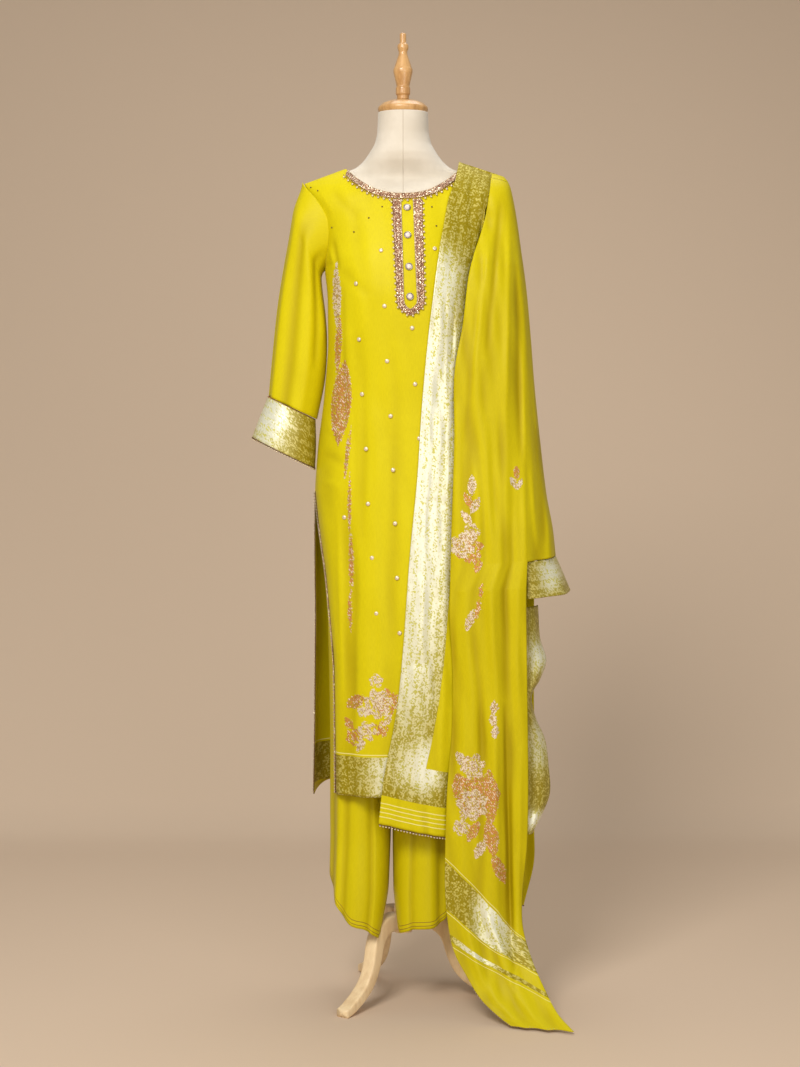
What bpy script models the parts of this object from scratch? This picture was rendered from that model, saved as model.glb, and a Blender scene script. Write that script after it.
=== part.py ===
"""Salwar kameez suit worn by a limbless dress form on a turned wooden stand.

The model is in metres, +Z up, +X to the viewer's right, and the viewer stands toward -Y.
It is laid out about the form's axis with the floor at z = 0. At the end everything is moved
so that the middle of the bounding box's underside is the origin.

Every cloth piece is an open surface, worked out from sections, with a Solidify wall.
"Right" and "left" in names are the wearer's, so the right sleeve is at -X.
"""
import math

import bmesh
import bpy
import numpy as np
from mathutils import Matrix, Vector

# Driving dimensions
CLOTH = 0.0016
TRIM = 0.0012
WAISTBAND_WALL = 0.002
SEAM = 0.0003
SUPER = 2.3
SKIRT_ROWS = 9
WAIST_ROWS = 8
YOKE_ROWS = 9
PANEL_COLUMNS = 20
SLEEVE_COLUMNS = 16
LEG_COLUMNS = 16
BOW = 2 / 2.6
FALL_BULGE = 0.012
SLEEVE_HEAD_ROOM = 0.012
FALL_COLUMNS = 9
CAPE_COLUMNS = 5
FALL_CORNER_X = 0.2235
BACK_CORNER_X = 0.2500
BORDER_WIDTH = 0.067
SHOULDER_SEAM = 0.0010

# Kameez
HEM_Z = 0.389
SLIT_Z = 0.944
UNDERARM_Z = 1.355
NECK_HALF_WIDTH = 0.107
NECK_SIDE_Z = 1.535
SHOULDER_SLOPE = 0.367
SHOULDER_HALF_WIDTH = 0.186
SHOULDER_ROUND = 0.07
FRONT_NECK_Z = 1.482
BACK_CORNER_DROP = 0.020
BACK_CORNER_POWER = 14
BACK_NECK_Z = 1.518
ARMHOLE_HALF_DEPTH = 0.045
NECK_TRIM_WIDTH = 0.011
SLIT_TRIM_WIDTH = 0.007
TRIM_LIFT = 0.0022

# Half widths and depths of the kameez.
# columns: height, half width, depth of the front, depth of the back
BODICE = (
    (1.540, 0.186, 0.050, 0.050),
    (1.506, 0.186, 0.066, 0.060),
    (1.480, 0.163, 0.075, 0.066),
    (1.455, 0.147, 0.086, 0.073),
    (1.430, 0.139, 0.096, 0.080),
    (1.400, 0.137, 0.107, 0.088),
    (1.375, 0.140, 0.116, 0.092),
    (1.355, 0.146, 0.121, 0.094),
    (1.300, 0.1395, 0.128, 0.095),
    (1.200, 0.1385, 0.124, 0.090),
    (1.100, 0.147, 0.118, 0.087),
    (1.025, 0.157, 0.118, 0.092),
    (0.944, 0.163, 0.121, 0.101),
)
# Below the slits the two panels part.
# columns: height, front half width, front depth, front edge depth,
#          back half width, back depth, back edge depth
SKIRT = (
    (0.944, 0.163, 0.121, 0.000, 0.163, 0.101, 0.000),
    (0.870, 0.154, 0.123, 0.020, 0.163, 0.108, 0.008),
    (0.788, 0.141, 0.125, 0.042, 0.163, 0.112, 0.014),
    (0.700, 0.132, 0.127, 0.060, 0.162, 0.114, 0.020),
    (0.630, 0.125, 0.128, 0.070, 0.163, 0.115, 0.024),
    (0.500, 0.123, 0.129, 0.074, 0.164, 0.117, 0.026),
    (0.389, 0.122, 0.130, 0.074, 0.166, 0.118, 0.026),
)
# Soft upright folds in the panels.
# columns: middle across, spread, depth out, height where it starts, height where it is full
FRONT_FOLDS = (
    (-0.098, 0.013, -0.0050, 1.20, 0.80),
    (-0.066, 0.016, 0.0035, 1.25, 0.60),
    (-0.020, 0.014, -0.0030, 0.95, 0.50),
    (0.030, 0.018, 0.0035, 1.05, 0.50),
    (0.085, 0.014, -0.0040, 1.10, 0.60),
)
BACK_FOLDS = (
    (-0.105, 0.016, 0.0050, 1.10, 0.60),
    (-0.055, 0.016, -0.0050, 1.05, 0.55),
    (0.000, 0.018, 0.0050, 1.00, 0.55),
    (0.055, 0.016, -0.0050, 1.05, 0.55),
    (0.105, 0.016, 0.0050, 1.10, 0.60),
)

# Rings of the sleeves, given by the outer and the inner point of each.
# columns: outer x, outer z, inner x, inner z, half depth
RIGHT_SLEEVE = (
    (0.1885, 1.5060, 0.1505, 1.3530, 0.0490),
    (0.2020, 1.4650, 0.1520, 1.3360, 0.0530),
    (0.2110, 1.4110, 0.1515, 1.3050, 0.0530),
    (0.2230, 1.3470, 0.1490, 1.2600, 0.0500),
    (0.2340, 1.2760, 0.1475, 1.2050, 0.0480),
    (0.2430, 1.1900, 0.1510, 1.1400, 0.0460),
    (0.2500, 1.1130, 0.1630, 1.0700, 0.0450),
)
RIGHT_CUFF = (
    (0.2503, 1.1122, 0.1629, 1.0692, 0.0451),
    (0.2660, 1.0740, 0.1620, 1.0230, 0.0500),
    (0.2800, 1.0370, 0.1640, 0.9800, 0.0530),
)
LEFT_SLEEVE = (
    (0.1885, 1.5060, 0.1505, 1.3530, 0.0490),
    (0.1970, 1.4600, 0.1520, 1.3360, 0.0520),
    (0.2020, 1.4050, 0.1515, 1.3050, 0.0510),
    (0.2090, 1.3400, 0.1490, 1.2600, 0.0480),
    (0.2160, 1.2700, 0.1475, 1.2050, 0.0460),
    (0.2230, 1.1840, 0.1510, 1.1400, 0.0440),
    (0.2280, 1.1060, 0.1610, 1.0700, 0.0430),
)
LEFT_CUFF = (
    (0.2282, 1.1052, 0.1610, 1.0692, 0.0431),
    (0.2340, 1.0660, 0.1610, 1.0260, 0.0460),
    (0.2380, 1.0290, 0.1640, 0.9850, 0.0480),
)

# Trousers
HIP_ROOM = 0.0080
WAIST_TOP = 1.040
WAIST_BOTTOM = 1.005
CROTCH_Z = 0.700
# columns: height, outer half width at right, outer half width at left,
#          seam x of the right leg, seam x of the left leg, half depth
LEGS = (
    (0.860, 0.1460, 0.1460, -0.0195, -0.0175, 0.1060),
    (0.780, 0.1430, 0.1420, -0.0195, -0.0175, 0.1040),
    (0.700, 0.1390, 0.1300, -0.0195, -0.0175, 0.0980),
    (0.600, 0.1370, 0.1150, -0.0215, -0.0180, 0.0960),
    (0.450, 0.1340, 0.1050, -0.0235, -0.0185, 0.0940),
    (0.300, 0.1320, 0.0970, -0.0255, -0.0185, 0.0920),
    (0.200, 0.1340, 0.0930, -0.0290, -0.0165, 0.1020),
    (0.120, 0.1350, 0.0920, -0.0370, -0.0150, 0.1100),
)
# Height of each trouser hem round the leg, in degrees from the outer side over the front.
# columns: degrees, height
RIGHT_HEM = (
    (0, 0.246), (30, 0.214), (60, 0.180), (90, 0.150), (115, 0.135), (135, 0.127), (143, 0.136),
    (150, 0.168), (165, 0.196), (180, 0.206), (225, 0.214), (270, 0.220), (315, 0.236), (360, 0.246),
)
LEFT_HEM = (
    (0, 0.214), (30, 0.190), (60, 0.162), (80, 0.150), (100, 0.146), (120, 0.140), (135, 0.136),
    (143, 0.142), (150, 0.168), (165, 0.196), (180, 0.206), (225, 0.212), (270, 0.212),
    (315, 0.214), (360, 0.214),
)
# Trouser sections are squarer at the hem, with the front creases at the corners.
HEM_SUPER = 3.4
HEM_SUPER_Z = (0.20, 0.45)

# Placket trim, a pointed U.
# columns: outer x, outer z, inner x, inner z
PLACKET = (
    (-0.0190, 1.4695, -0.0035, 1.4695),
    (-0.0165, 1.4150, -0.0020, 1.4150),
    (-0.0140, 1.3600, -0.0005, 1.3600),
    (-0.0115, 1.3100, 0.0008, 1.3100),
    (-0.0098, 1.2780, 0.0018, 1.2820),
    (-0.0020, 1.2660, 0.0060, 1.2730),
    (0.0130, 1.2570, 0.0130, 1.2680),
    (0.0290, 1.2660, 0.0205, 1.2730),
    (0.0371, 1.2780, 0.0247, 1.2820),
    (0.0366, 1.3100, 0.0236, 1.3100),
    (0.0358, 1.3600, 0.0216, 1.3600),
    (0.0350, 1.4150, 0.0197, 1.4150),
    (0.0342, 1.4695, 0.0180, 1.4695),
)
BUTTON_RADIUS = 0.0068
BUTTON_HEIGHT = 0.0034
# columns: x, z
BUTTONS = ((0.0072, 1.4540), (0.0082, 1.4020), (0.0105, 1.3440), (0.0122, 1.2900))

# Dupatta, each stretch given by its two long edges. Left edges lie on the kameez panels.
INNER_LIFT = 0.0055
OUTER_LIFT = 0.0110
# columns: left x, left z, right x, right z
FRONT_INNER = (
    (0.1020, 1.5368, 0.1690, 1.5120),
    (0.0980, 1.5200, 0.1620, 1.4960),
    (0.0930, 1.5000, 0.1530, 1.4780),
    (0.0820, 1.4700, 0.1440, 1.4480),
    (0.0727, 1.4240, 0.1340, 1.4050),
    (0.0634, 1.3700, 0.1200, 1.3550),
    (0.0540, 1.3000, 0.1070, 1.2900),
    (0.0430, 1.2060, 0.0950, 1.2000),
    (0.0330, 1.0900, 0.0935, 1.0850),
    (0.0252, 0.9640, 0.0920, 0.9600),
    (0.0120, 0.8200, 0.0900, 0.8150),
    (0.0000, 0.6500, 0.0880, 0.6450),
    (-0.0115, 0.5390, 0.0890, 0.5300),
    (-0.0340, 0.4330, 0.0860, 0.4200),
    (-0.0440, 0.3430, 0.0820, 0.3160),
)
# The fall above its outer corner, where it still covers the arm.
# columns: left x, left z, right x, right z, extra lift of the left edge
FRONT_CAPE = (
    (0.1640, 1.5140, 0.1880, 1.5200, 0.0000),
    (0.1590, 1.5040, 0.1960, 1.5070, 0.0020),
    (0.1530, 1.4880, 0.2020, 1.4880, 0.0045),
    (0.1430, 1.4500, 0.2110, 1.4400, 0.0050),
    (0.1300, 1.3960, 0.2200, 1.3750, 0.0020),
    (0.1120, 1.3290, 0.2290, 1.3050, 0.0015),
    (0.1000, 1.2400, 0.2370, 1.2150, 0.0010),
    (0.0870, 1.1500, 0.2440, 1.1250, 0.0000),
    (0.0880, 1.0400, 0.2540, 1.0300, 0.0000),
    (0.0860, 0.9500, 0.2650, 0.9350, 0.0000),
    (0.0830, 0.8700, 0.2770, 0.8700, 0.0000),
    (0.0810, 0.8050, 0.2827, 0.8200, 0.0000),
)
# The fall below that corner, down to the tail that sweeps forward.
# columns: left x, left z, right x, right y, right z, extra lift of the left edge
FRONT_FALL = (
    (0.0800, 0.7600, 0.2225, -0.1090, 0.7650, 0.0000),
    (0.0790, 0.7100, 0.2225, -0.1080, 0.7150, 0.0000),
    (0.0860, 0.6000, 0.2240, -0.1060, 0.6000, 0.0000),
    (0.0830, 0.5000, 0.2255, -0.1040, 0.5000, 0.0000),
    (0.0740, 0.4000, 0.2260, -0.1030, 0.4000, 0.0010),
    (0.0710, 0.3000, 0.2240, -0.1030, 0.3000, 0.0040),
    (0.0715, 0.2100, 0.2160, -0.1060, 0.2200, 0.0100),
    (0.0830, 0.1300, 0.2150, -0.1180, 0.1600, 0.0300),
    (0.1080, 0.0750, 0.2280, -0.1400, 0.1100, 0.0580),
    (0.1400, 0.0400, 0.2480, -0.1720, 0.0650, 0.0870),
    (0.1700, 0.0160, 0.2700, -0.2120, 0.0280, 0.1140),
    (0.1890, 0.0060, 0.2960, -0.2500, 0.0060, 0.1360),
)
# columns: left x, left z, right x, right z, extra lift of the left edge
BACK_CAPE = (
    (0.1020, 1.5365, 0.1880, 1.5200, 0.0000),
    (0.1020, 1.5260, 0.1960, 1.5070, 0.0005),
    (0.1010, 1.5100, 0.2020, 1.4880, 0.0010),
    (0.0980, 1.4600, 0.2110, 1.4400, 0.0020),
    (0.0930, 1.3960, 0.2200, 1.3750, 0.0040),
    (0.0850, 1.3250, 0.2290, 1.3050, 0.0060),
    (0.0750, 1.2400, 0.2370, 1.2150, 0.0060),
    (0.0650, 1.1500, 0.2440, 1.1250, 0.0060),
    (0.0580, 1.0400, 0.2540, 1.0300, 0.0060),
    (0.0520, 0.9500, 0.2650, 0.9350, 0.0060),
    (0.0480, 0.8700, 0.2770, 0.8700, 0.0060),
    (0.0460, 0.8050, 0.2827, 0.8200, 0.0060),
)
# columns: left x, left z, right x, right y, right z, extra lift of the left edge
BACK_FALL = (
    (0.0450, 0.7600, 0.2500, 0.0820, 0.7650, 0.0060),
    (0.0420, 0.6000, 0.2490, 0.0830, 0.6000, 0.0060),
    (0.0380, 0.4500, 0.2500, 0.0840, 0.4500, 0.0060),
    (0.0350, 0.3000, 0.2500, 0.0850, 0.3000, 0.0060),
    (0.0340, 0.2150, 0.2490, 0.0850, 0.2250, 0.0060),
    (0.0330, 0.1500, 0.2300, 0.0850, 0.1450, 0.0060),
)
BORDER_FLARE = 0.027
# The outer edge of the zigzag stretch that falls beside the front fall.
# columns: height, x, y
CASCADE_EDGE = (
    (0.7280, 0.2480, -0.0420),
    (0.6700, 0.2510, -0.0500),
    (0.6300, 0.2620, -0.0560),
    (0.5950, 0.2500, -0.0660),
    (0.5650, 0.2350, -0.0700),
    (0.5250, 0.2420, -0.0560),
    (0.4800, 0.2610, -0.0480),
    (0.4300, 0.2670, -0.0520),
    (0.3850, 0.2690, -0.0560),
    (0.3480, 0.2540, -0.0640),
    (0.3150, 0.2360, -0.0720),
)
CASCADE_TUCK = (0.0040, 0.0024)
CASCADE_WAVE = 0.004
# Long soft folds down each stretch of the dupatta.
# columns: place across from 0 to 1, spread, depth out
INNER_FOLDS = ((0.25, 0.10, 0.0015), (0.80, 0.08, 0.0025))
OUTER_FOLDS = ((0.14, 0.06, 0.0040), (0.36, 0.07, 0.0055), (0.60, 0.07, 0.0050), (0.82, 0.06, 0.0040))
BACK_FALL_FOLDS = ((0.15, 0.06, 0.0060), (0.38, 0.07, 0.0070), (0.62, 0.07, 0.0070), (0.84, 0.06, 0.0050))

# Dress form.
# columns: height, half width, depth of the front, depth of the back
FORM_RINGS = (
    (0.742, 0.118, 0.085, 0.075),
    (0.800, 0.134, 0.096, 0.084),
    (0.860, 0.138, 0.098, 0.087),
    (0.950, 0.131, 0.096, 0.078),
    (1.030, 0.116, 0.090, 0.068),
    (1.060, 0.112, 0.089, 0.066),
    (1.120, 0.115, 0.096, 0.068),
    (1.200, 0.122, 0.107, 0.074),
    (1.270, 0.126, 0.114, 0.078),
    (1.330, 0.127, 0.110, 0.080),
    (1.380, 0.126, 0.098, 0.078),
    (1.430, 0.129, 0.082, 0.070),
    (1.468, 0.141, 0.070, 0.060),
    (1.490, 0.150, 0.060, 0.052),
    (1.504, 0.152, 0.046, 0.042),
    (1.5140, 0.147, 0.036, 0.034),
    (1.5220, 0.1250, 0.036, 0.034),
    (1.5295, 0.104, 0.039, 0.037),
    (1.5365, 0.087, 0.043, 0.041),
    (1.548, 0.074, 0.050, 0.049),
    (1.562, 0.064, 0.053, 0.052),
    (1.580, 0.053, 0.050, 0.050),
    (1.600, 0.048, 0.047, 0.047),
    (1.639, 0.0465, 0.0465, 0.0465),
)
FORM_SEGMENTS = 24
POLE_RADIUS = 0.009
POLE_TOP = 0.7417
HUB_TOP = 0.168
HUB_BOTTOM = 0.118
HUB_RADIUS = 0.0165
# Cap and finial profiles, top to bottom.
# columns: radius, height
CAP = (
    (0.0120, 1.6640), (0.0250, 1.6620), (0.0380, 1.6570), (0.0460, 1.6500), (0.0470, 1.6465),
    (0.0455, 1.6420), (0.0440, 1.6395),
)
FINIAL = (
    (0.0042, 1.7880), (0.0060, 1.7860), (0.0058, 1.7700), (0.0100, 1.7660), (0.0104, 1.7600),
    (0.0078, 1.7530), (0.0082, 1.7480), (0.0165, 1.7230), (0.0178, 1.7210), (0.0178, 1.7150),
    (0.0172, 1.7130), (0.0118, 1.6890), (0.0134, 1.6860), (0.0134, 1.6740), (0.0112, 1.6720),
    (0.0112, 1.6645),
)
LEG_THICKNESS = 0.026
LEG_BEARINGS = (-126.0, -6.0, 114.0)
# Side outline of a tripod leg.
# columns: distance from the axis, height
LEG_OUTLINE = (
    (0.0168, 0.1580), (0.0570, 0.1580), (0.0825, 0.1460), (0.1000, 0.1220), (0.1082, 0.0900),
    (0.1195, 0.0660), (0.1370, 0.0460), (0.1598, 0.0300), (0.1814, 0.0160), (0.1855, 0.0060),
    (0.1845, 0.0000), (0.1595, 0.0000), (0.1319, 0.0140), (0.1072, 0.0340), (0.0907, 0.0580),
    (0.0814, 0.0850), (0.0742, 0.1100), (0.0570, 0.1240), (0.0168, 0.1270),
)

for old in list(bpy.data.objects):
    bpy.data.objects.remove(old, do_unlink=True)

suit = bpy.data.collections.new("salwar_kameez_suit_on_dress_form")
bpy.context.scene.collection.children.link(suit)


def material(name, colour, roughness, metallic=0.0):
    """Return a Principled material."""
    made = bpy.data.materials.new(name)
    made.use_nodes = True
    shader = made.node_tree.nodes["Principled BSDF"]
    shader.inputs["Base Color"].default_value = (*colour, 1.0)
    shader.inputs["Roughness"].default_value = roughness
    shader.inputs["Metallic"].default_value = metallic
    return made


YELLOW = material("chartreuse silk", (0.62, 0.53, 0.01), 0.5)
DUPATTA_SILK = material("chartreuse organza silk", (0.66, 0.56, 0.01), 0.45)
ZARI = material("pale gold zari brocade", (0.70, 0.66, 0.40), 0.35, 0.6)
BEADS = material("rose gold beading", (0.45, 0.25, 0.13), 0.4, 0.5)
STONE = material("pearl stone button", (0.85, 0.76, 0.68), 0.2)
FORM_CLOTH = material("cream form cover", (0.82, 0.76, 0.65), 0.8)
CAP_WOOD = material("honey turned wood", (0.48, 0.24, 0.07), 0.4)
BIRCH = material("pale birch", (0.70, 0.55, 0.36), 0.5)
STEEL = material("steel pole", (0.55, 0.55, 0.56), 0.3, 1.0)


def read_table(table, column, height):
    """Interpolate a column of a table whose first column is a falling or rising height."""
    rows = np.array(sorted(table))
    return np.interp(height, rows[:, 0], rows[:, column])


def smooth_rows(table, count):
    """Spread table rows to count rows with a Catmull-Rom curve through them.

    P(t) = 0.5 (2 P1 + (P2-P0) t + (2 P0 - 5 P1 + 4 P2 - P3) t^2 + (3 P1 - P0 - 3 P2 + P3) t^3)
    """
    rows = np.array(table, dtype=float)
    padded = np.vstack((2 * rows[0] - rows[1], rows, 2 * rows[-1] - rows[-2]))
    place = np.linspace(0, len(rows) - 1, count)
    first = np.minimum(place.astype(int), len(rows) - 2)
    t = (place - first)[:, None]
    p0, p1, p2, p3 = (padded[first + k] for k in range(4))
    curve = 2 * p1 + (p2 - p0) * t + (2 * p0 - 5 * p1 + 4 * p2 - p3) * t**2
    return 0.5 * (curve + (3 * p1 - p0 - 3 * p2 + p3) * t**3)


def add_object(name, mesh, look):
    """Link a mesh as a named sub-part with its own material."""
    mesh.materials.clear()
    mesh.materials.append(look)
    made = bpy.data.objects.new(name, mesh)
    suit.objects.link(made)
    return made


def cloth(name, points, look, wall=CLOTH, wrap=False, keep=None):
    """Make a wall about a grid of points, rows by columns.

    wrap joins the last column to the first. keep is a grid of the cells that exist.
    """
    rows, columns = points.shape[:2]
    cells_across = columns if wrap else columns - 1
    row, column = np.mgrid[0:rows - 1, 0:cells_across]
    if keep is not None:
        row, column = row[keep], column[keep]
    after = (column + 1) % columns
    corners = np.stack((row * columns + column, row * columns + after,
                        (row + 1) * columns + after, (row + 1) * columns + column), axis=-1)
    mesh = bpy.data.meshes.new(name)
    mesh.from_pydata(points.reshape(-1, 3).tolist(), [], corners.reshape(-1, 4).tolist())
    shape = bmesh.new()
    shape.from_mesh(mesh)
    bmesh.ops.delete(shape, geom=[v for v in shape.verts if not v.link_faces], context="VERTS")
    shape.to_mesh(mesh)
    shape.free()
    mesh.shade_smooth()
    made = add_object(name, mesh, look)
    solid = made.modifiers.new("wall", "SOLIDIFY")
    solid.thickness = wall
    solid.offset = 0.0
    return made


def shoulder_z(x):
    """Height of the shoulder line over a place across."""
    return NECK_SIDE_Z - SHOULDER_SLOPE * (np.abs(x) - NECK_HALF_WIDTH)


def folds(table, x, z):
    """Sum of soft upright folds: depth * exp(-((x - middle) / spread)^2) * ramp down the panel."""
    total = np.zeros_like(np.asarray(x * z, dtype=float))
    for middle, spread, depth, start, full in table:
        ramp = np.clip((start - z) / (start - full), 0, 1)
        total = total + depth * np.exp(-(((x - middle) / spread) ** 2)) * ramp * ramp * (3 - 2 * ramp)
    return total


def panel_sizes(side, z):
    """Half width, middle depth and edge depth of the front (0) or back (1) panel at a height."""
    lower = z < SLIT_Z
    half = np.where(lower, read_table(SKIRT, 1 + 3 * side, z), read_table(BODICE, 1, z))
    middle = np.where(lower, read_table(SKIRT, 2 + 3 * side, z), read_table(BODICE, 2 + side, z))
    reach = np.clip((z - UNDERARM_Z) / (shoulder_z(SHOULDER_HALF_WIDTH) - UNDERARM_Z), 0, 1)
    armhole = ARMHOLE_HALF_DEPTH * np.sqrt(np.clip(1 - (2 * reach - 1) ** 2, 0, 1))
    edge = np.where(lower, read_table(SKIRT, 3 + 3 * side, z), armhole)
    return half, middle, edge


def panel_depth(side, x, z):
    """Depth of a panel: edge + (middle - edge) (1 - |x / half|^n)^(1/n), rounded to the shoulder."""
    half, middle, edge = panel_sizes(side, z)
    across = np.clip(1 - np.abs(x / half) ** SUPER, 0, 1) ** (1 / SUPER)
    depth = edge + (middle - edge) * across
    drop = np.clip((shoulder_z(x) - z) / SHOULDER_ROUND, 0, 1)
    depth = depth * np.sqrt(np.clip(1 - (1 - drop) ** 2, 0, 1))
    return depth + folds((FRONT_FOLDS, BACK_FOLDS)[side], x, z) * across


def panel_point(side, x, z, lift=0.0):
    """A point of the front or back panel, moved out along the panel's normal by lift.

    For y = -+depth(x, z) the normal is (-depth_x, -+1, -depth_z), made unit length.
    """
    step = 0.0004
    facing = (-1, 1)[side]
    depth = panel_depth(side, x, z)
    slope_x = np.clip((panel_depth(side, x + step, z) - panel_depth(side, x - step, z)) / (2 * step), -4, 4)
    slope_z = np.clip((panel_depth(side, x, z + step) - panel_depth(side, x, z - step)) / (2 * step), -4, 4)
    normal = np.stack((-slope_x, np.full_like(slope_x, facing), -slope_z), axis=-1)
    normal = normal / np.linalg.norm(normal, axis=-1, keepdims=True)
    place = np.stack((x + 0 * z, facing * (depth + SHOULDER_SEAM / 2), z + 0 * x), axis=-1)
    return place + normal * lift


def neckline_z(side, x):
    """Height of the top edge of a panel: the neckline, and past it the shoulder line."""
    low = (FRONT_NECK_Z, BACK_NECK_Z)[side]
    scoop = low + (NECK_SIDE_Z - low) * np.clip(np.abs(x) / NECK_HALF_WIDTH, 0, 1) ** 2.4
    return np.where(np.abs(x) < NECK_HALF_WIDTH, scoop, shoulder_z(x))


def panel_grid(side):
    """Points of a kameez panel, rows from the hem to the neckline and shoulders."""
    angle = np.linspace(-math.pi / 2, math.pi / 2, PANEL_COLUMNS + 1)
    spread = np.sign(np.sin(angle)) * np.abs(np.sin(angle)) ** (2 / SUPER)
    top = np.full_like(spread, NECK_SIDE_Z)
    for _ in range(30):
        half = panel_sizes(side, top)[0]
        top = 0.5 * top + 0.5 * neckline_z(side, spread * half)
    low = np.concatenate((np.linspace(HEM_Z, SLIT_Z, SKIRT_ROWS)[:-1],
                          np.linspace(SLIT_Z, UNDERARM_Z, WAIST_ROWS)[:-1]))
    share = np.sin(np.linspace(0, math.pi / 2, YOKE_ROWS))
    upper = UNDERARM_Z + (top[None, :] - UNDERARM_Z) * share[:, None]
    z = np.vstack((np.repeat(low[:, None], len(spread), axis=1), upper))
    z[0] -= (0.0, BACK_CORNER_DROP)[side] * np.abs(spread) ** BACK_CORNER_POWER
    half = panel_sizes(side, z)[0]
    return panel_point(side, spread[None, :] * half, z)


def neck_trim(name, side):
    """Make the beaded band along a neckline from the panel's points moved out."""
    x = np.linspace(-NECK_HALF_WIDTH + 0.006, NECK_HALF_WIDTH - 0.006, 27)
    edge = neckline_z(side, x)
    drop = np.linspace(0.0008, NECK_TRIM_WIDTH, 3)
    z = edge[None, :] - drop[:, None]
    outward = x[None, :] * (1 + drop[:, None] * 0.4 / NECK_HALF_WIDTH)
    lift = (TRIM_LIFT + 0.0008 * (np.abs(outward) / NECK_HALF_WIDTH) ** 4)[..., None]
    return cloth(name, panel_point(side, outward, z, lift), BEADS, wall=TRIM)


def placket_trim():
    """Make the pointed U of beading round the button stand."""
    rows = smooth_rows(PLACKET, 37)
    share = np.linspace(0, 1, 3)[:, None]
    x = rows[:, 0] + (rows[:, 2] - rows[:, 0]) * share
    z = rows[:, 1] + (rows[:, 3] - rows[:, 1]) * share
    return cloth("placket_trim", panel_point(0, x, z, TRIM_LIFT), BEADS, wall=TRIM)


def slit_trim(name, side, sign):
    """Make the beaded lace along one slit edge, on the outer face of the panel's edge cells."""
    grid = panel_grid(side)[:SKIRT_ROWS - 1]
    edge, inner = (grid[:, -1], grid[:, -2]) if sign > 0 else (grid[:, 0], grid[:, 1])
    inward = inner - edge
    length = np.linalg.norm(inward, axis=-1, keepdims=True)
    along = np.gradient(edge, axis=0)
    normal = np.cross(along, inward) * (-sign * (-1, 1)[side])
    normal = normal / np.linalg.norm(normal, axis=-1, keepdims=True)
    near = edge + inward / length * 0.0006 + normal * TRIM_LIFT
    far = edge + inward / length * SLIT_TRIM_WIDTH + normal * TRIM_LIFT
    rows = np.stack((near, far), axis=0)
    return cloth(name, rows, BEADS, wall=TRIM)


def button(number, x, z):
    """Make one faceted stone button standing on the panel along its normal."""
    base = panel_point(0, np.array([x]), np.array([z]))[0]
    raised = panel_point(0, np.array([x]), np.array([z]), 1.0)[0]
    normal = Vector(raised - base).normalized()
    shape = bmesh.new()
    bmesh.ops.create_cone(shape, cap_ends=True, segments=12, radius1=BUTTON_RADIUS,
                          radius2=BUTTON_RADIUS * 0.7, depth=BUTTON_HEIGHT)
    mesh = bpy.data.meshes.new("button")
    shape.to_mesh(mesh)
    shape.free()
    made = add_object(f"button_{number}", mesh, STONE)
    lift = CLOTH / 2 + SEAM + BUTTON_HEIGHT / 2 + 0.0002
    made.location = Vector(base) + normal * lift
    made.rotation_euler = normal.to_track_quat("Z", "Y").to_euler()
    return made


def tube_rings(table, rows, sign):
    """Points of a tube from rings: middle + half * cos(a) across the sleeve, depth * sin(a) in Y."""
    ring = smooth_rows(table, rows)
    angle = np.linspace(0, 2 * math.pi, SLEEVE_COLUMNS, endpoint=False)
    outer_x, outer_z, inner_x, inner_z, depth = (ring[:, k][:, None] for k in range(5))
    cosine = np.cos(angle)[None, :]
    x = sign * ((outer_x + inner_x) / 2 + (outer_x - inner_x) / 2 * cosine)
    z = (outer_z + inner_z) / 2 + (outer_z - inner_z) / 2 * cosine
    y = depth * np.sin(angle)[None, :]
    return np.stack((x, y, z + 0 * y), axis=-1)


def sleeve(name, table, sign):
    """Make a sleeve. Its first ring follows the armhole across, just outside the panels."""
    points = tube_rings(table, 12, sign)
    z = points[0, :, 2]
    armhole = read_table(BODICE, 1, z) + CLOTH / 2 + SEAM + CLOTH / 2
    share = np.linspace(1, 0, 4)[:, None] ** 2
    for row in range(4):
        moved = np.maximum(np.abs(points[row, :, 0]), armhole * share[row] +
                           np.abs(points[row, :, 0]) * (1 - share[row]))
        points[row, :, 0] = sign * (armhole if row == 0 else moved)
    return cloth(name, points, YELLOW, wrap=True)


def leg_points(side):
    """Points of a trouser leg, rows from the waist down, columns from the outer side forward."""
    sign = (-1, 1)[side]
    angle = np.linspace(0, 2 * math.pi, LEG_COLUMNS, endpoint=False)
    cosine = np.cos(angle)
    sine = np.sin(angle)
    hem = np.interp(np.degrees(angle), *np.array((RIGHT_HEM, LEFT_HEM)[side]).T)
    hip = np.linspace(WAIST_BOTTOM - SEAM, CROTCH_Z, 6)
    share = np.linspace(0, 1, 9)[1:]
    z = np.vstack((np.repeat(hip[:, None], LEG_COLUMNS, axis=1),
                   CROTCH_Z + (hem[None, :] - CROTCH_Z) * share[:, None]))
    form_half = read_table(FORM_RINGS, 1, z) + HIP_ROOM
    form_front = read_table(FORM_RINGS, 2, z) + HIP_ROOM
    form_back = read_table(FORM_RINGS, 3, z) + HIP_ROOM
    outer = np.where(z > 0.86, form_half, read_table(LEGS, 1 + side, z))
    seam = read_table(LEGS, 3 + side, z)
    depth = np.where(z > 0.86, np.where(sine > 0, form_front, form_back), read_table(LEGS, 5, z))
    low = np.clip((CROTCH_Z - z) / 0.25, 0, 1)
    middle = seam + (sign * outer - seam) * 0.5 * low * low * (3 - 2 * low)
    reach = np.where(cosine >= 0, sign * outer - middle, middle - seam)
    power = 2 / np.interp(z, HEM_SUPER_Z, (HEM_SUPER, SUPER))
    shape = np.sign(cosine) * np.abs(cosine) ** power
    x = middle + reach * shape
    y = -depth * np.sign(sine) * np.abs(sine) ** power
    return np.stack((x, y, z), axis=-1)


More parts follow.
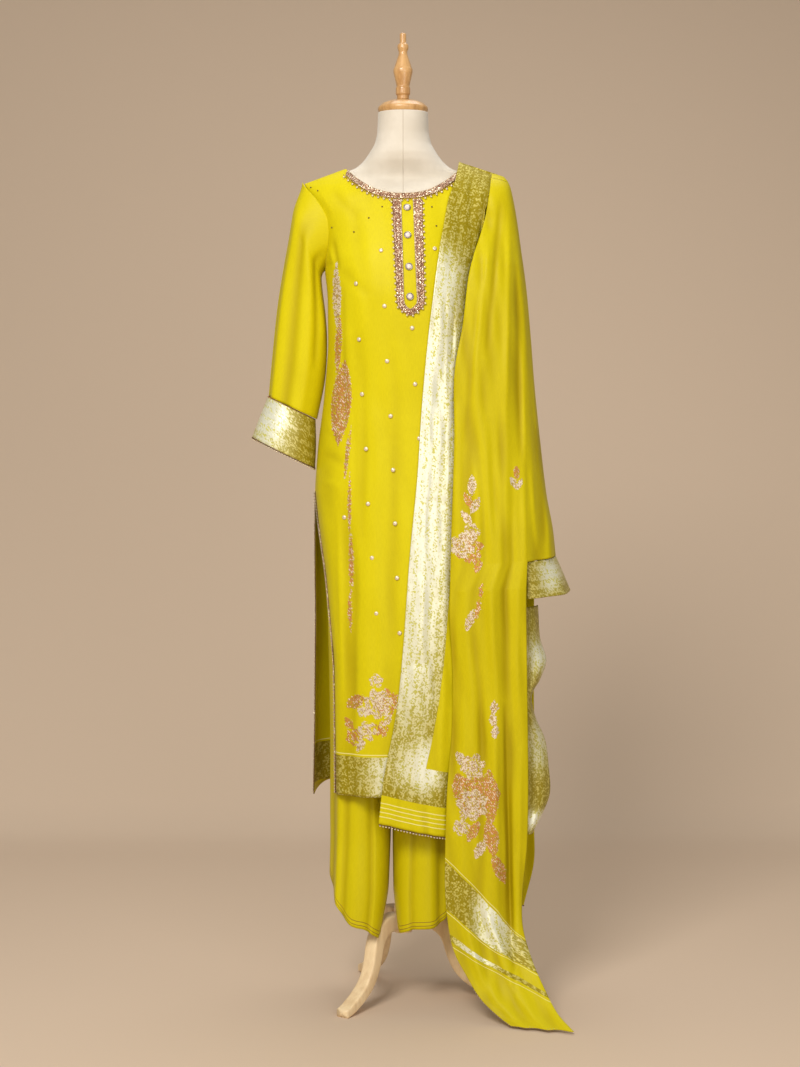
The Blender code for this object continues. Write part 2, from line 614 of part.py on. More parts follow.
def trouser_leg(name, side):
    """Make a trouser leg: half the hip above the crotch and a whole tube below it."""
    points = leg_points(side)
    keep = np.ones((points.shape[0] - 1, LEG_COLUMNS), dtype=bool)
    quarter = LEG_COLUMNS // 4
    keep[:5, quarter:3 * quarter] = False
    return cloth(name, points, YELLOW, wrap=True, keep=keep)


def waistband():
    """Make the elastic waistband close round the form."""
    angle = np.linspace(0, 2 * math.pi, 28, endpoint=False)
    cosine, sine = np.cos(angle), np.sin(angle)
    z = np.linspace(WAIST_TOP, WAIST_BOTTOM, 3)[:, None]
    room = WAISTBAND_WALL / 2 + 0.0006
    half = read_table(FORM_RINGS, 1, z) + room
    depth = np.where(sine > 0, read_table(FORM_RINGS, 2, z), read_table(FORM_RINGS, 3, z)) + room
    x = half * np.sign(cosine) * np.abs(cosine) ** (2 / SUPER)
    y = -depth * np.sign(sine) * np.abs(sine) ** (2 / SUPER)
    return cloth("waistband", np.stack((x, y, z + 0 * x), axis=-1), YELLOW,
                 wall=WAISTBAND_WALL, wrap=True)


def across_folds(table, share):
    """Sum of folds across a stretch: depth * exp(-((share - place) / spread)^2)."""
    return sum(depth * np.exp(-(((share - place) / spread) ** 2)) for place, spread, depth in table)


def on_panel(side, x, z, lift):
    """Points lifted off a panel, or off the plane that carries it on below its hem."""
    held = np.clip(z, HEM_Z, shoulder_z(x) - 0.0002)
    points = panel_point(side, x, held, lift)
    points[..., 2] -= np.clip(HEM_Z - z, 0, 1)
    return points


def dupatta_front_inner():
    """Make the pleat with the border, lying on the kameez front."""
    rows = smooth_rows(FRONT_INNER, 25)
    share = np.linspace(0, 1, FALL_COLUMNS)[None, :]
    x = rows[:, 0:1] + (rows[:, 2:3] - rows[:, 0:1]) * share
    z = rows[:, 1:2] + (rows[:, 3:4] - rows[:, 1:2]) * share
    points = on_panel(0, x, z, INNER_LIFT)
    ramp = np.clip((1.35 - z) / 0.5, 0, 1)
    points[..., 1] -= across_folds(INNER_FOLDS, share) * ramp
    head = np.clip((x - 0.120) / 0.020, 0, 1) * np.clip((1.500 - z) / 0.020, 0, 1)
    points[..., 1] -= SLEEVE_HEAD_ROOM * head * np.clip((z - 1.33) / 0.04, 0, 1)
    points[0, :, 1] = -SHOULDER_SEAM / 2
    return cloth("dupatta_front_inner", points, DUPATTA_SILK)


def bow(left, right, share):
    """A row from left to right: x = left + reach sin(a)^p, y = right + drop cos(a)^p."""
    angle = share * math.pi / 2
    sine, cosine = np.sin(angle) ** BOW, np.cos(angle) ** BOW
    x = left[:, 0:1] + (right[:, 0:1] - left[:, 0:1]) * sine
    y = right[:, 1:2] + (left[:, 1:2] - right[:, 1:2]) * cosine
    z = left[:, 2:3] + (right[:, 2:3] - left[:, 2:3]) * share
    return np.stack((x, y, z + 0 * x), axis=-1)


def fall_points(side, cape, fall, corner_x, cape_rows, fall_rows):
    """Points of a stretch that covers the arm above a corner and hangs inside it below.

    The first FALL_COLUMNS columns run on below the corner; the rest end there.
    """
    facing = (-1, 1)[side]
    top = smooth_rows(cape, cape_rows)
    left = on_panel(side, top[:, 0], top[:, 1], (OUTER_LIFT + top[:, 4])[:, None])
    left[0, 1] = facing * SHOULDER_SEAM
    right = np.stack((top[:, 2], np.full(cape_rows, facing * SHOULDER_SEAM), top[:, 3]), axis=-1)
    reach = np.clip((corner_x - top[:, 0]) / (top[:, 2] - top[:, 0]), 0.05, 0.9)
    turn = (np.arcsin(reach ** (1 / BOW)) * 2 / math.pi)[:, None]
    inner = turn * np.linspace(0, 1, FALL_COLUMNS)[None, :]
    outer = turn + (1 - turn) * np.linspace(0, 1, CAPE_COLUMNS + 1)[None, 1:]
    upper = bow(left, right, np.hstack((inner, outer)))
    low = smooth_rows(fall, fall_rows)
    left = on_panel(side, low[:, 0], low[:, 1], OUTER_LIFT)
    left[:, 1] += facing * low[:, 5]
    share = np.linspace(0, 1, FALL_COLUMNS)[None, :]
    lower = left[:, None, :] + (low[:, None, 2:5] - left[:, None, :]) * share[..., None]
    bulge = (FALL_BULGE * np.sin(math.pi * share) * np.clip((low[:, 1:2] - 0.02) / 0.2, 0, 1))
    lower[..., 1] += facing * bulge
    filler = np.repeat(lower[:, -1:], CAPE_COLUMNS, axis=1)
    return upper, np.vstack((upper, np.hstack((lower, filler))))


def fall_cloth(name, points, cape_rows, table, facing, start):
    """Make the wall of a fall, with its long folds and without the cells past the corner."""
    share = np.linspace(0, 1, FALL_COLUMNS + CAPE_COLUMNS)[None, :]
    ramp = np.clip((start - points[..., 2]) / 0.45, 0, 1)
    points[..., 1] += facing * across_folds(table, share) * ramp
    keep = np.ones((points.shape[0] - 1, points.shape[1] - 1), dtype=bool)
    keep[cape_rows - 1:, FALL_COLUMNS - 1:] = False
    return cloth(name, points, DUPATTA_SILK, keep=keep)


def dupatta_side_border(front, back):
    """Make the woven border along the outer long edge, where it hangs over the arm.

    Its top follows the lower edge of the front cape, then that of the back cape.
    """
    ahead = front[-1, FALL_COLUMNS - 1:]
    behind = back[-1, FALL_COLUMNS - 1:][::-1]
    top = smooth_rows(np.vstack((ahead, behind[1:])), 17)
    along = np.gradient(top, axis=0)
    outward = np.stack((along[:, 1], -along[:, 0], 0 * along[:, 0]), axis=-1)
    outward = outward / np.linalg.norm(outward, axis=-1, keepdims=True)
    swell = (BORDER_FLARE * np.sin(np.linspace(0, math.pi, len(top))) ** 1.5)[:, None]
    share = np.linspace(0, 1, 4)[None, :, None]
    points = top[:, None, :] + outward[:, None, :] * swell[:, None, :] * share
    points[..., 2] -= 0.0012 + BORDER_WIDTH * share[..., 0]
    return cloth("dupatta_side_border", points, ZARI)


def dupatta_cascade():
    """Make the zigzag stretch, from just behind the front fall's right edge to its own edge."""
    edge = smooth_rows(CASCADE_EDGE, 21)
    fall = np.array(sorted([(row[4], row[2], row[3]) for row in FRONT_FALL]))
    left_x = np.interp(edge[:, 0], fall[:, 0], fall[:, 1]) - CASCADE_TUCK[0]
    left_y = np.interp(edge[:, 0], fall[:, 0], fall[:, 2]) + CASCADE_TUCK[1]
    share = np.linspace(0, 1, 7)[None, :]
    x = left_x[:, None] + (edge[:, 1] - left_x)[:, None] * share
    y = left_y[:, None] + (edge[:, 2] - left_y)[:, None] * share
    y = y + CASCADE_WAVE * np.sin(2 * math.pi * share)
    return cloth("dupatta_cascade", np.stack((x, y, edge[:, 0:1] + 0 * x), axis=-1), DUPATTA_SILK)


def dress_form():
    """Make the limbless form: rings of superellipses from the hip to the neck, closed by caps."""
    angle = np.linspace(0, 2 * math.pi, FORM_SEGMENTS, endpoint=False)
    cosine, sine = np.cos(angle), np.sin(angle)
    shape = bmesh.new()
    loops = []
    for height, half, front, back in FORM_RINGS:
        power = 2 / 2.2
        x = half * np.sign(cosine) * np.abs(cosine) ** power
        y = np.where(sine > 0, back, front) * np.sign(sine) * np.abs(sine) ** power
        loops.append([shape.verts.new((px, py, height)) for px, py in zip(x, y)])
    for lower, upper in zip(loops, loops[1:]):
        for k in range(FORM_SEGMENTS):
            after = (k + 1) % FORM_SEGMENTS
            shape.faces.new((lower[k], lower[after], upper[after], upper[k]))
    shape.faces.new(list(reversed(loops[0])))
    shape.faces.new(loops[-1])
    mesh = bpy.data.meshes.new("dress_form")
    shape.to_mesh(mesh)
    shape.free()
    mesh.shade_smooth()
    mesh.set_sharp_from_angle(angle=math.radians(50))
    return add_object("dress_form_body", mesh, FORM_CLOTH)


def turned(name, profile, look, steps=20):
    """Make a turned piece from a profile of radius and height, with both ends closed."""
    shape = bmesh.new()
    outline = [(0.0, profile[0][1])] + list(profile) + [(0.0, profile[-1][1])]
    verts = [shape.verts.new((radius, 0.0, height)) for radius, height in outline]
    for above, below in zip(verts, verts[1:]):
        shape.edges.new((above, below))
    mesh = bpy.data.meshes.new(name)
    shape.to_mesh(mesh)
    shape.free()
    made = add_object(name, mesh, look)
    screw = made.modifiers.new("turn", "SCREW")
    screw.steps = steps
    screw.render_steps = steps
    screw.use_merge_vertices = True
    screw.merge_threshold = 0.00005
    return made


def cylinder(name, radius, bottom, top, look, sides=20):
    """Make an upright cylinder on the form's axis."""
    bpy.ops.mesh.primitive_cylinder_add(vertices=sides, radius=radius, depth=top - bottom,
                                        location=(0, 0, (top + bottom) / 2))
    made = bpy.context.object
    made.name = name
    made.data.materials.append(look)
    for owner in list(made.users_collection):
        owner.objects.unlink(made)
    suit.objects.link(made)
    return made


def tripod_leg(number, bearing):
    """Make one curved leg as a flat outline with a thickness, turned to its bearing."""
    outline = bpy.data.curves.new(f"tripod_leg_{number}", "CURVE")
    outline.dimensions = "2D"
    outline.fill_mode = "BOTH"
    outline.extrude = LEG_THICKNESS / 2
    spline = outline.splines.new("POLY")
    spline.points.add(len(LEG_OUTLINE) - 1)
    for point, (distance, height) in zip(spline.points, LEG_OUTLINE):
        point.co = (distance, height, 0.0, 1.0)
    spline.use_cyclic_u = True
    outline.materials.append(BIRCH)
    made = bpy.data.objects.new(f"tripod_leg_{number}", outline)
    suit.objects.link(made)
    made.rotation_euler = (math.radians(90), 0.0, math.radians(bearing))
    return made


def stand_on_origin():
    """Move the whole part so that the middle of its underside is the origin."""
    bpy.context.view_layer.update()
    graph = bpy.context.evaluated_depsgraph_get()
    corners = []
    for made in suit.objects:
        solid = made.evaluated_get(graph)
        mesh = solid.to_mesh()
        corners += [solid.matrix_world @ v.co for v in mesh.vertices]
        solid.to_mesh_clear()
    low = Vector([min(c[k] for c in corners) for k in range(3)])
    high = Vector([max(c[k] for c in corners) for k in range(3)])
    shift = Vector((-(low.x + high.x) / 2, -(low.y + high.y) / 2, -low.z))
    for made in suit.objects:
        made.matrix_world = Matrix.Translation(shift) @ made.matrix_world


cloth("kameez_front", panel_grid(0), YELLOW)
cloth("kameez_back", panel_grid(1), YELLOW)
neck_trim("neck_trim_front", 0)
neck_trim("neck_trim_back", 1)
placket_trim()
for number, (button_x, button_z) in enumerate(BUTTONS, start=1):
    button(number, button_x, button_z)
for part_name, panel, direction in (
    ("slit_trim_front_right", 0, -1),
    ("slit_trim_front_left", 0, 1),
    ("slit_trim_back_right", 1, -1),
    ("slit_trim_back_left", 1, 1),
):
    slit_trim(part_name, panel, direction)
sleeve("sleeve_right", RIGHT_SLEEVE, -1)
sleeve("sleeve_left", LEFT_SLEEVE, 1)
cloth("cuff_right", tube_rings(RIGHT_CUFF, 4, -1), ZARI, wrap=True)
cloth("cuff_left", tube_rings(LEFT_CUFF, 4, 1), ZARI, wrap=True)
waistband()
trouser_leg("trouser_leg_right", 0)
trouser_leg("trouser_leg_left", 1)
dupatta_front_inner()
front_cape, front_fall = fall_points(0, FRONT_CAPE, FRONT_FALL, FALL_CORNER_X, 19, 19)
back_cape, back_fall = fall_points(1, BACK_CAPE, BACK_FALL, BACK_CORNER_X, 19, 9)
dupatta_side_border(front_cape, back_cape)
fall_cloth("dupatta_front_outer", front_fall, 19, OUTER_FOLDS, -1, 1.40)
fall_cloth("dupatta_back", back_fall, 19, BACK_FALL_FOLDS, 1, 1.30)
dupatta_cascade()
dress_form()
turned("wood_cap", CAP, CAP_WOOD)
turned("wood_finial", FINIAL, CAP_WOOD)
cylinder("stand_pole", POLE_RADIUS, HUB_TOP + SEAM, POLE_TOP - SEAM, STEEL)
cylinder("stand_hub", HUB_RADIUS, HUB_BOTTOM, HUB_TOP, BIRCH, 24)
for number, bearing in enumerate(LEG_BEARINGS, start=1):
    tripod_leg(number, bearing)
stand_on_origin()
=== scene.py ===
"""Looks of a chartreuse silk salwar kameez suit on a limbless dress form.

Every piece is worked out about the form's axis, in metres, with the viewer toward -Y, and then
moved to where the frame has that axis. "Right" and "left" are the wearer's.
"""
import math

import bpy
import numpy as np
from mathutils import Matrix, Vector


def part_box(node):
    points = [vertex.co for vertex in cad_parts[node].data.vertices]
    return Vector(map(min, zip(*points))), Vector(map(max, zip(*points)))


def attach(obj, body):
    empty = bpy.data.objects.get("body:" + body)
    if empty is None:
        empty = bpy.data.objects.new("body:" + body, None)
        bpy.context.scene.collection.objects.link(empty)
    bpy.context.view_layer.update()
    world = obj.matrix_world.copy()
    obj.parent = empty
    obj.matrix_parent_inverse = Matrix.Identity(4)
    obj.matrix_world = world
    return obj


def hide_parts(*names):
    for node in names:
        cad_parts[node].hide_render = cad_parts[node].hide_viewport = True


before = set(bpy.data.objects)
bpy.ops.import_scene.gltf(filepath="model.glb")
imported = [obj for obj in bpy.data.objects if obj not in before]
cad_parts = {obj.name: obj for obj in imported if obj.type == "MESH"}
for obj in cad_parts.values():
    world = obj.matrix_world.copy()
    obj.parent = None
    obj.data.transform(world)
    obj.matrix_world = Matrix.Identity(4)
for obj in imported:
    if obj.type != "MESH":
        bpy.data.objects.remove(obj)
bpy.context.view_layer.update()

POLE_BOX = np.array([list(corner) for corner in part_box("stand_pole")])
AXIS = POLE_BOX.mean(axis=0) * (1, 1, 0)

# Cloth
CLOTH = 0.0009
# fold depth at which the painted fold shade is full
FOLD_DEPTH_FOR_FULL_SHADE = 0.0055
SLEEVE_TUCK = 0.006
SLEEVE_COVER = 0.003
SUPER = 2.3
SMOOTHING = 0.014
BOW = 2 / 2.6
SHOULDER_SEAM = 0.001
CAPE_SEAM = 0.0002
BORDER = 0.067
TAIL_LACE_Z = 0.06

# Kameez
HEM_Z = 0.389
SLIT_Z = 0.944
UNDERARM_Z = 1.355
NECK_HALF_WIDTH = 0.107
NECK_SIDE_Z = 1.535
SHOULDER_SLOPE = 0.367
SHOULDER_HALF_WIDTH = 0.186
SHOULDER_ROUND = 0.07
FRONT_NECK_Z = 1.482
BACK_CORNER_DROP = 0.02
BACK_CORNER_POWER = 14
BACK_NECK_Z = 1.518
ARMHOLE_HALF_DEPTH = 0.045
# columns: height, half width, depth of the front, depth of the back
BODICE = (
    (1.54, 0.186, 0.05, 0.05), (1.506, 0.186, 0.066, 0.06), (1.48, 0.163, 0.075, 0.066),
    (1.455, 0.147, 0.086, 0.073), (1.43, 0.139, 0.096, 0.08), (1.4, 0.137, 0.107, 0.088),
    (1.375, 0.14, 0.116, 0.092), (1.355, 0.146, 0.121, 0.094), (1.3, 0.1395, 0.128, 0.095),
    (1.2, 0.1385, 0.124, 0.09), (1.1, 0.147, 0.118, 0.087), (1.025, 0.157, 0.118, 0.092),
    (0.944, 0.163, 0.121, 0.101),
)
# columns: height, front half width, front depth, front edge depth,
#          back half width, back depth, back edge depth
SKIRT = (
    (0.944, 0.163, 0.121, 0.0, 0.163, 0.101, 0.0), (0.87, 0.154, 0.123, 0.02, 0.163, 0.108, 0.008),
    (0.788, 0.141, 0.125, 0.042, 0.163, 0.112, 0.014), (0.7, 0.132, 0.127, 0.06, 0.162, 0.114, 0.02),
    (0.63, 0.125, 0.128, 0.07, 0.163, 0.115, 0.024), (0.5, 0.123, 0.129, 0.074, 0.164, 0.117, 0.026),
    (0.389, 0.122, 0.13, 0.074, 0.166, 0.118, 0.026),
)
# columns: middle across, spread, depth out, height where it starts, height where it is full
FRONT_FOLDS = (
    (-0.098, 0.013, -0.005, 1.2, 0.8), (-0.066, 0.016, 0.0035, 1.25, 0.6),
    (-0.02, 0.014, -0.003, 0.95, 0.5), (0.03, 0.018, 0.0035, 1.05, 0.5), (0.085, 0.014, -0.004, 1.1, 0.6),
)
BACK_FOLDS = (
    (-0.105, 0.016, 0.005, 1.1, 0.6), (-0.055, 0.016, -0.005, 1.05, 0.55), (0.0, 0.018, 0.005, 1.0, 0.55),
    (0.055, 0.016, -0.005, 1.05, 0.55), (0.105, 0.016, 0.005, 1.1, 0.6),
)
# Creases listed one by one: soft ridges (out) and troughs (in) between two ends.
# columns: start across, start up, end across, end up, spread, depth out
FRONT_CREASES = (
    (-0.128, 1.4, -0.118, 1.34, 0.005, -0.003), (-0.136, 1.39, -0.124, 1.345, 0.0035, 0.0016),
    (-0.12, 1.35, -0.06, 1.29, 0.01, -0.0016), (-0.112, 1.32, -0.104, 1.02, 0.006, -0.0022),
    (-0.1, 1.24, -0.094, 0.82, 0.007, 0.0018), (-0.07, 1.18, -0.074, 0.76, 0.008, -0.0016),
    (-0.045, 1.09, -0.052, 0.64, 0.008, 0.0014), (-0.012, 1.15, -0.02, 0.7, 0.009, -0.0014),
    (-0.14, 1.06, -0.11, 1.035, 0.006, 0.0016), (-0.15, 1.01, -0.1, 0.985, 0.008, -0.0016),
    (-0.15, 0.96, -0.11, 0.945, 0.006, 0.0014), (-0.118, 0.9, -0.108, 0.56, 0.005, 0.002),
    (-0.085, 0.84, -0.092, 0.44, 0.006, -0.002), (-0.04, 0.76, -0.045, 0.42, 0.007, 0.0018),
    (-0.062, 0.56, -0.066, 0.392, 0.006, -0.0018), (0.05, 1.08, 0.06, 0.5, 0.008, 0.0016),
    (0.1, 1.0, 0.1, 0.42, 0.007, -0.0018), (0.09, 1.42, 0.11, 1.33, 0.008, -0.0014),
    (-0.14, 1.5, -0.08, 1.43, 0.009, -0.0012), (-0.16, 1.5, -0.125, 1.44, 0.006, 0.0012),
)
BACK_CREASES = (
    (-0.12, 1.4, -0.07, 1.33, 0.008, -0.0018), (0.12, 1.4, 0.07, 1.33, 0.008, -0.0018),
    (-0.08, 1.3, -0.09, 0.7, 0.008, -0.002), (-0.03, 1.2, -0.025, 0.5, 0.009, 0.002),
    (0.03, 1.25, 0.032, 0.45, 0.008, -0.0018), (0.085, 1.2, 0.09, 0.42, 0.008, 0.002),
    (-0.12, 1.05, -0.06, 1.02, 0.007, 0.0016), (0.11, 1.05, 0.04, 1.025, 0.007, -0.0016),
    (-0.11, 0.98, -0.04, 0.965, 0.007, -0.0016), (-0.13, 0.88, -0.125, 0.43, 0.006, 0.002),
)

# columns: outer x, outer z, inner x, inner z, half depth
RIGHT_SLEEVE = (
    (0.19, 1.51, 0.1505, 1.353, 0.049), (0.202, 1.465, 0.152, 1.336, 0.053),
    (0.211, 1.411, 0.1495, 1.305, 0.053), (0.223, 1.347, 0.144, 1.26, 0.05),
    (0.234, 1.276, 0.1415, 1.205, 0.048), (0.243, 1.19, 0.146, 1.14, 0.046),
    (0.25, 1.113, 0.16, 1.07, 0.045),
)
RIGHT_CUFF = (
    (0.2506, 1.1122, 0.1628, 1.0692, 0.0452), (0.266, 1.074, 0.162, 1.023, 0.05),
    (0.28, 1.037, 0.164, 0.98, 0.053),
)
LEFT_SLEEVE = (
    (0.1885, 1.506, 0.1505, 1.353, 0.049), (0.197, 1.46, 0.152, 1.336, 0.052),
    (0.202, 1.405, 0.1515, 1.305, 0.051), (0.209, 1.34, 0.149, 1.26, 0.048),
    (0.216, 1.27, 0.1475, 1.205, 0.046), (0.223, 1.184, 0.151, 1.14, 0.044),
    (0.228, 1.106, 0.161, 1.07, 0.043),
)
LEFT_CUFF = (
    (0.2284, 1.1052, 0.161, 1.0692, 0.0431), (0.234, 1.066, 0.161, 1.026, 0.046),
    (0.238, 1.029, 0.164, 0.985, 0.048),
)
# Long folds round a sleeve.
# columns: turn in degrees, spread in degrees, depth out, start and end along from 0 to 1
SLEEVE_FOLDS = (
    (285, 13, -0.0042, 0.05, 1.0), (318, 10, 0.003, 0.1, 1.0), (252, 12, 0.003, 0.2, 1.0),
    (232, 9, -0.003, 0.0, 0.75), (345, 10, -0.0024, 0.3, 1.0), (210, 10, 0.0022, 0.05, 0.6),
    (100, 14, -0.004, 0.1, 1.0), (60, 12, 0.003, 0.2, 1.0), (135, 12, 0.0028, 0.0, 0.8),
    (15, 11, -0.0026, 0.15, 1.0),
)

# Trousers
WAIST_BOTTOM = 1.005
CROTCH_Z = 0.7
HIP_ROOM = 0.008
# columns: height, outer half width at right, outer half width at left,
#          seam x of the right leg, seam x of the left leg, half depth
LEGS = (
    (0.86, 0.146, 0.146, -0.0195, -0.0175, 0.106), (0.78, 0.143, 0.142, -0.0195, -0.0175, 0.104),
    (0.7, 0.139, 0.13, -0.0195, -0.0175, 0.098), (0.6, 0.137, 0.115, -0.0215, -0.018, 0.096),
    (0.45, 0.134, 0.105, -0.022, -0.0192, 0.094), (0.3, 0.132, 0.097, -0.023, -0.019, 0.092),
    (0.2, 0.134, 0.093, -0.027, -0.0175, 0.102), (0.12, 0.135, 0.092, -0.037, -0.015, 0.11),
)
# columns: degrees from the outer side over the front, height
RIGHT_HEM = (
    (0, 0.246), (30, 0.214), (60, 0.18), (90, 0.15), (115, 0.135), (135, 0.127), (143, 0.136), (150, 0.168),
    (165, 0.196), (180, 0.206), (225, 0.214), (270, 0.22), (315, 0.236), (360, 0.246),
)
LEFT_HEM = (
    (0, 0.214), (30, 0.19), (60, 0.162), (80, 0.15), (100, 0.146), (120, 0.14), (135, 0.136), (143, 0.142),
    (150, 0.168), (165, 0.196), (180, 0.206), (225, 0.212), (270, 0.212), (315, 0.214), (360, 0.214),
)
HEM_SUPER = 3.4
HEM_SUPER_Z = (0.2, 0.45)
# columns: turn in degrees, spread in degrees, depth out, start and end along from 0 to 1
LEG_FOLDS = (
    (70, 7, -0.0034, 0.4, 1.0), (88, 6, 0.003, 0.5, 1.0), (104, 6, -0.003, 0.45, 1.0),
    (52, 7, 0.0028, 0.45, 1.0), (30, 9, -0.0034, 0.4, 1.0), (122, 7, 0.0026, 0.5, 1.0),
    (10, 8, 0.003, 0.5, 1.0), (250, 12, -0.0036, 0.4, 1.0), (290, 12, 0.0034, 0.4, 1.0),
    (330, 10, -0.003, 0.45, 1.0),
)

# columns: outer x, outer z, inner x, inner z
PLACKET = (
    (-0.019, 1.4695, -0.0035, 1.4695), (-0.0165, 1.415, -0.002, 1.415), (-0.014, 1.36, -0.0005, 1.36),
    (-0.0115, 1.31, 0.0008, 1.31), (-0.0098, 1.278, 0.0018, 1.282), (-0.002, 1.266, 0.006, 1.273),
    (0.013, 1.257, 0.013, 1.268), (0.029, 1.266, 0.0205, 1.273), (0.0371, 1.278, 0.0247, 1.282),
    (0.0366, 1.31, 0.0236, 1.31), (0.0358, 1.36, 0.0216, 1.36), (0.035, 1.415, 0.0197, 1.415),
    (0.0342, 1.4695, 0.018, 1.4695),
)
# columns: x, z
BUTTONS = ((0.0072, 1.454), (0.0082, 1.402), (0.0105, 1.344), (0.0122, 1.29))

# Dupatta
INNER_LIFT = 0.0055
OUTER_LIFT = 0.011
SLEEVE_HEAD_ROOM = 0.007
RIDGE_FADE = 0.012
FALL_BULGE = 0.012
FALL_CORNER_X = 0.2235
BACK_CORNER_X = 0.25
BORDER_FLARE = 0.027
# columns: left x, left z, right x, right z
FRONT_INNER = (
    (0.102, 1.5368, 0.174, 1.5235), (0.098, 1.52, 0.168, 1.501), (0.093, 1.5, 0.158, 1.48),
    (0.082, 1.47, 0.15, 1.448), (0.0727, 1.424, 0.147, 1.405), (0.0634, 1.37, 0.133, 1.355),
    (0.054, 1.3, 0.119, 1.29), (0.043, 1.206, 0.103, 1.2), (0.033, 1.09, 0.0935, 1.085),
    (0.0252, 0.964, 0.092, 0.96), (0.012, 0.82, 0.09, 0.815), (0.0, 0.65, 0.088, 0.645),
    (-0.0115, 0.539, 0.089, 0.53), (-0.034, 0.433, 0.086, 0.42), (-0.044, 0.343, 0.082, 0.316),
)
# columns: left x, left z, right x, right z, extra lift of the left edge
FRONT_CAPE = (
    (0.164, 1.525, 0.188, 1.52, 0.0), (0.159, 1.51, 0.196, 1.507, 0.001),
    (0.153, 1.488, 0.202, 1.488, 0.0025), (0.143, 1.45, 0.211, 1.44, 0.003),
    (0.128, 1.396, 0.22, 1.375, 0.002), (0.11, 1.329, 0.229, 1.305, 0.0015),
    (0.1, 1.24, 0.237, 1.215, 0.001), (0.087, 1.15, 0.244, 1.125, 0.0), (0.088, 1.04, 0.254, 1.03, 0.0),
    (0.086, 0.95, 0.265, 0.935, 0.0), (0.083, 0.87, 0.277, 0.87, 0.0), (0.081, 0.805, 0.2827, 0.82, 0.0),
)
# columns: left x, left z, right x, right y, right z, extra lift of the left edge
FRONT_FALL = (
    (0.08, 0.76, 0.2225, -0.109, 0.765, 0.0), (0.079, 0.71, 0.2225, -0.108, 0.715, 0.0),
    (0.086, 0.6, 0.224, -0.106, 0.6, 0.0), (0.083, 0.5, 0.2255, -0.104, 0.5, 0.0),
    (0.074, 0.4, 0.226, -0.103, 0.4, 0.001), (0.071, 0.3, 0.224, -0.103, 0.3, 0.004),
    (0.0715, 0.21, 0.216, -0.106, 0.22, 0.01), (0.083, 0.13, 0.215, -0.118, 0.16, 0.03),
    (0.108, 0.075, 0.228, -0.14, 0.11, 0.056), (0.14, 0.04, 0.248, -0.172, 0.065, 0.1),
    (0.17, 0.016, 0.27, -0.212, 0.028, 0.118), (0.189, 0.006, 0.296, -0.25, 0.006, 0.136),
)
BACK_CAPE = (
    (0.102, 1.5365, 0.188, 1.52, 0.0), (0.102, 1.526, 0.196, 1.507, 0.0005),
    (0.101, 1.51, 0.202, 1.488, 0.001), (0.098, 1.46, 0.211, 1.44, 0.002),
    (0.093, 1.396, 0.22, 1.375, 0.004), (0.085, 1.325, 0.229, 1.305, 0.006),
    (0.075, 1.24, 0.237, 1.215, 0.006), (0.065, 1.15, 0.244, 1.125, 0.006),
    (0.058, 1.04, 0.254, 1.03, 0.006), (0.052, 0.95, 0.265, 0.935, 0.006),
    (0.048, 0.87, 0.277, 0.87, 0.006), (0.046, 0.805, 0.2827, 0.82, 0.006),
)
BACK_FALL = (
    (0.045, 0.76, 0.25, 0.082, 0.765, 0.006), (0.042, 0.6, 0.249, 0.083, 0.6, 0.006),
    (0.038, 0.45, 0.25, 0.084, 0.45, 0.006), (0.035, 0.3, 0.25, 0.085, 0.3, 0.006),
    (0.034, 0.215, 0.249, 0.085, 0.225, 0.006), (0.033, 0.15, 0.23, 0.085, 0.145, 0.006),
)
# columns: height, right x, right y
CASCADE_EDGE = (
    (0.728, 0.248, -0.042), (0.67, 0.251, -0.05), (0.63, 0.262, -0.056), (0.595, 0.25, -0.066),
    (0.565, 0.235, -0.07), (0.525, 0.242, -0.056), (0.48, 0.261, -0.048), (0.43, 0.267, -0.052),
    (0.385, 0.269, -0.056), (0.348, 0.254, -0.064), (0.315, 0.236, -0.072),
)
INNER_FOLDS = ((0.25, 0.1, 0.0015), (0.8, 0.08, 0.0025))
OUTER_FOLDS = ((0.14, 0.06, 0.005), (0.36, 0.07, 0.0075), (0.6, 0.07, 0.007), (0.82, 0.06, 0.005))
BACK_FALL_FOLDS = ((0.15, 0.06, 0.006), (0.38, 0.07, 0.007), (0.62, 0.07, 0.007), (0.84, 0.06, 0.005))
INNER_CREASES = (
    (0.02, 0.922, 0.1, 0.914, 0.0024, -0.0016), (0.012, 0.795, 0.095, 0.784, 0.0024, -0.0014),
    (0.0, 0.632, 0.095, 0.622, 0.0026, -0.0014), (0.09, 1.288, 0.086, 1.17, 0.003, -0.0022),
    (0.08, 1.32, 0.074, 1.05, 0.004, 0.0012), (0.04, 0.9, 0.03, 0.56, 0.006, 0.001),
    (-0.01, 0.52, -0.02, 0.35, 0.006, 0.0014), (0.05, 0.7, 0.06, 0.4, 0.006, -0.0012),
    (0.02, 0.45, 0.03, 0.34, 0.005, -0.0012),
)
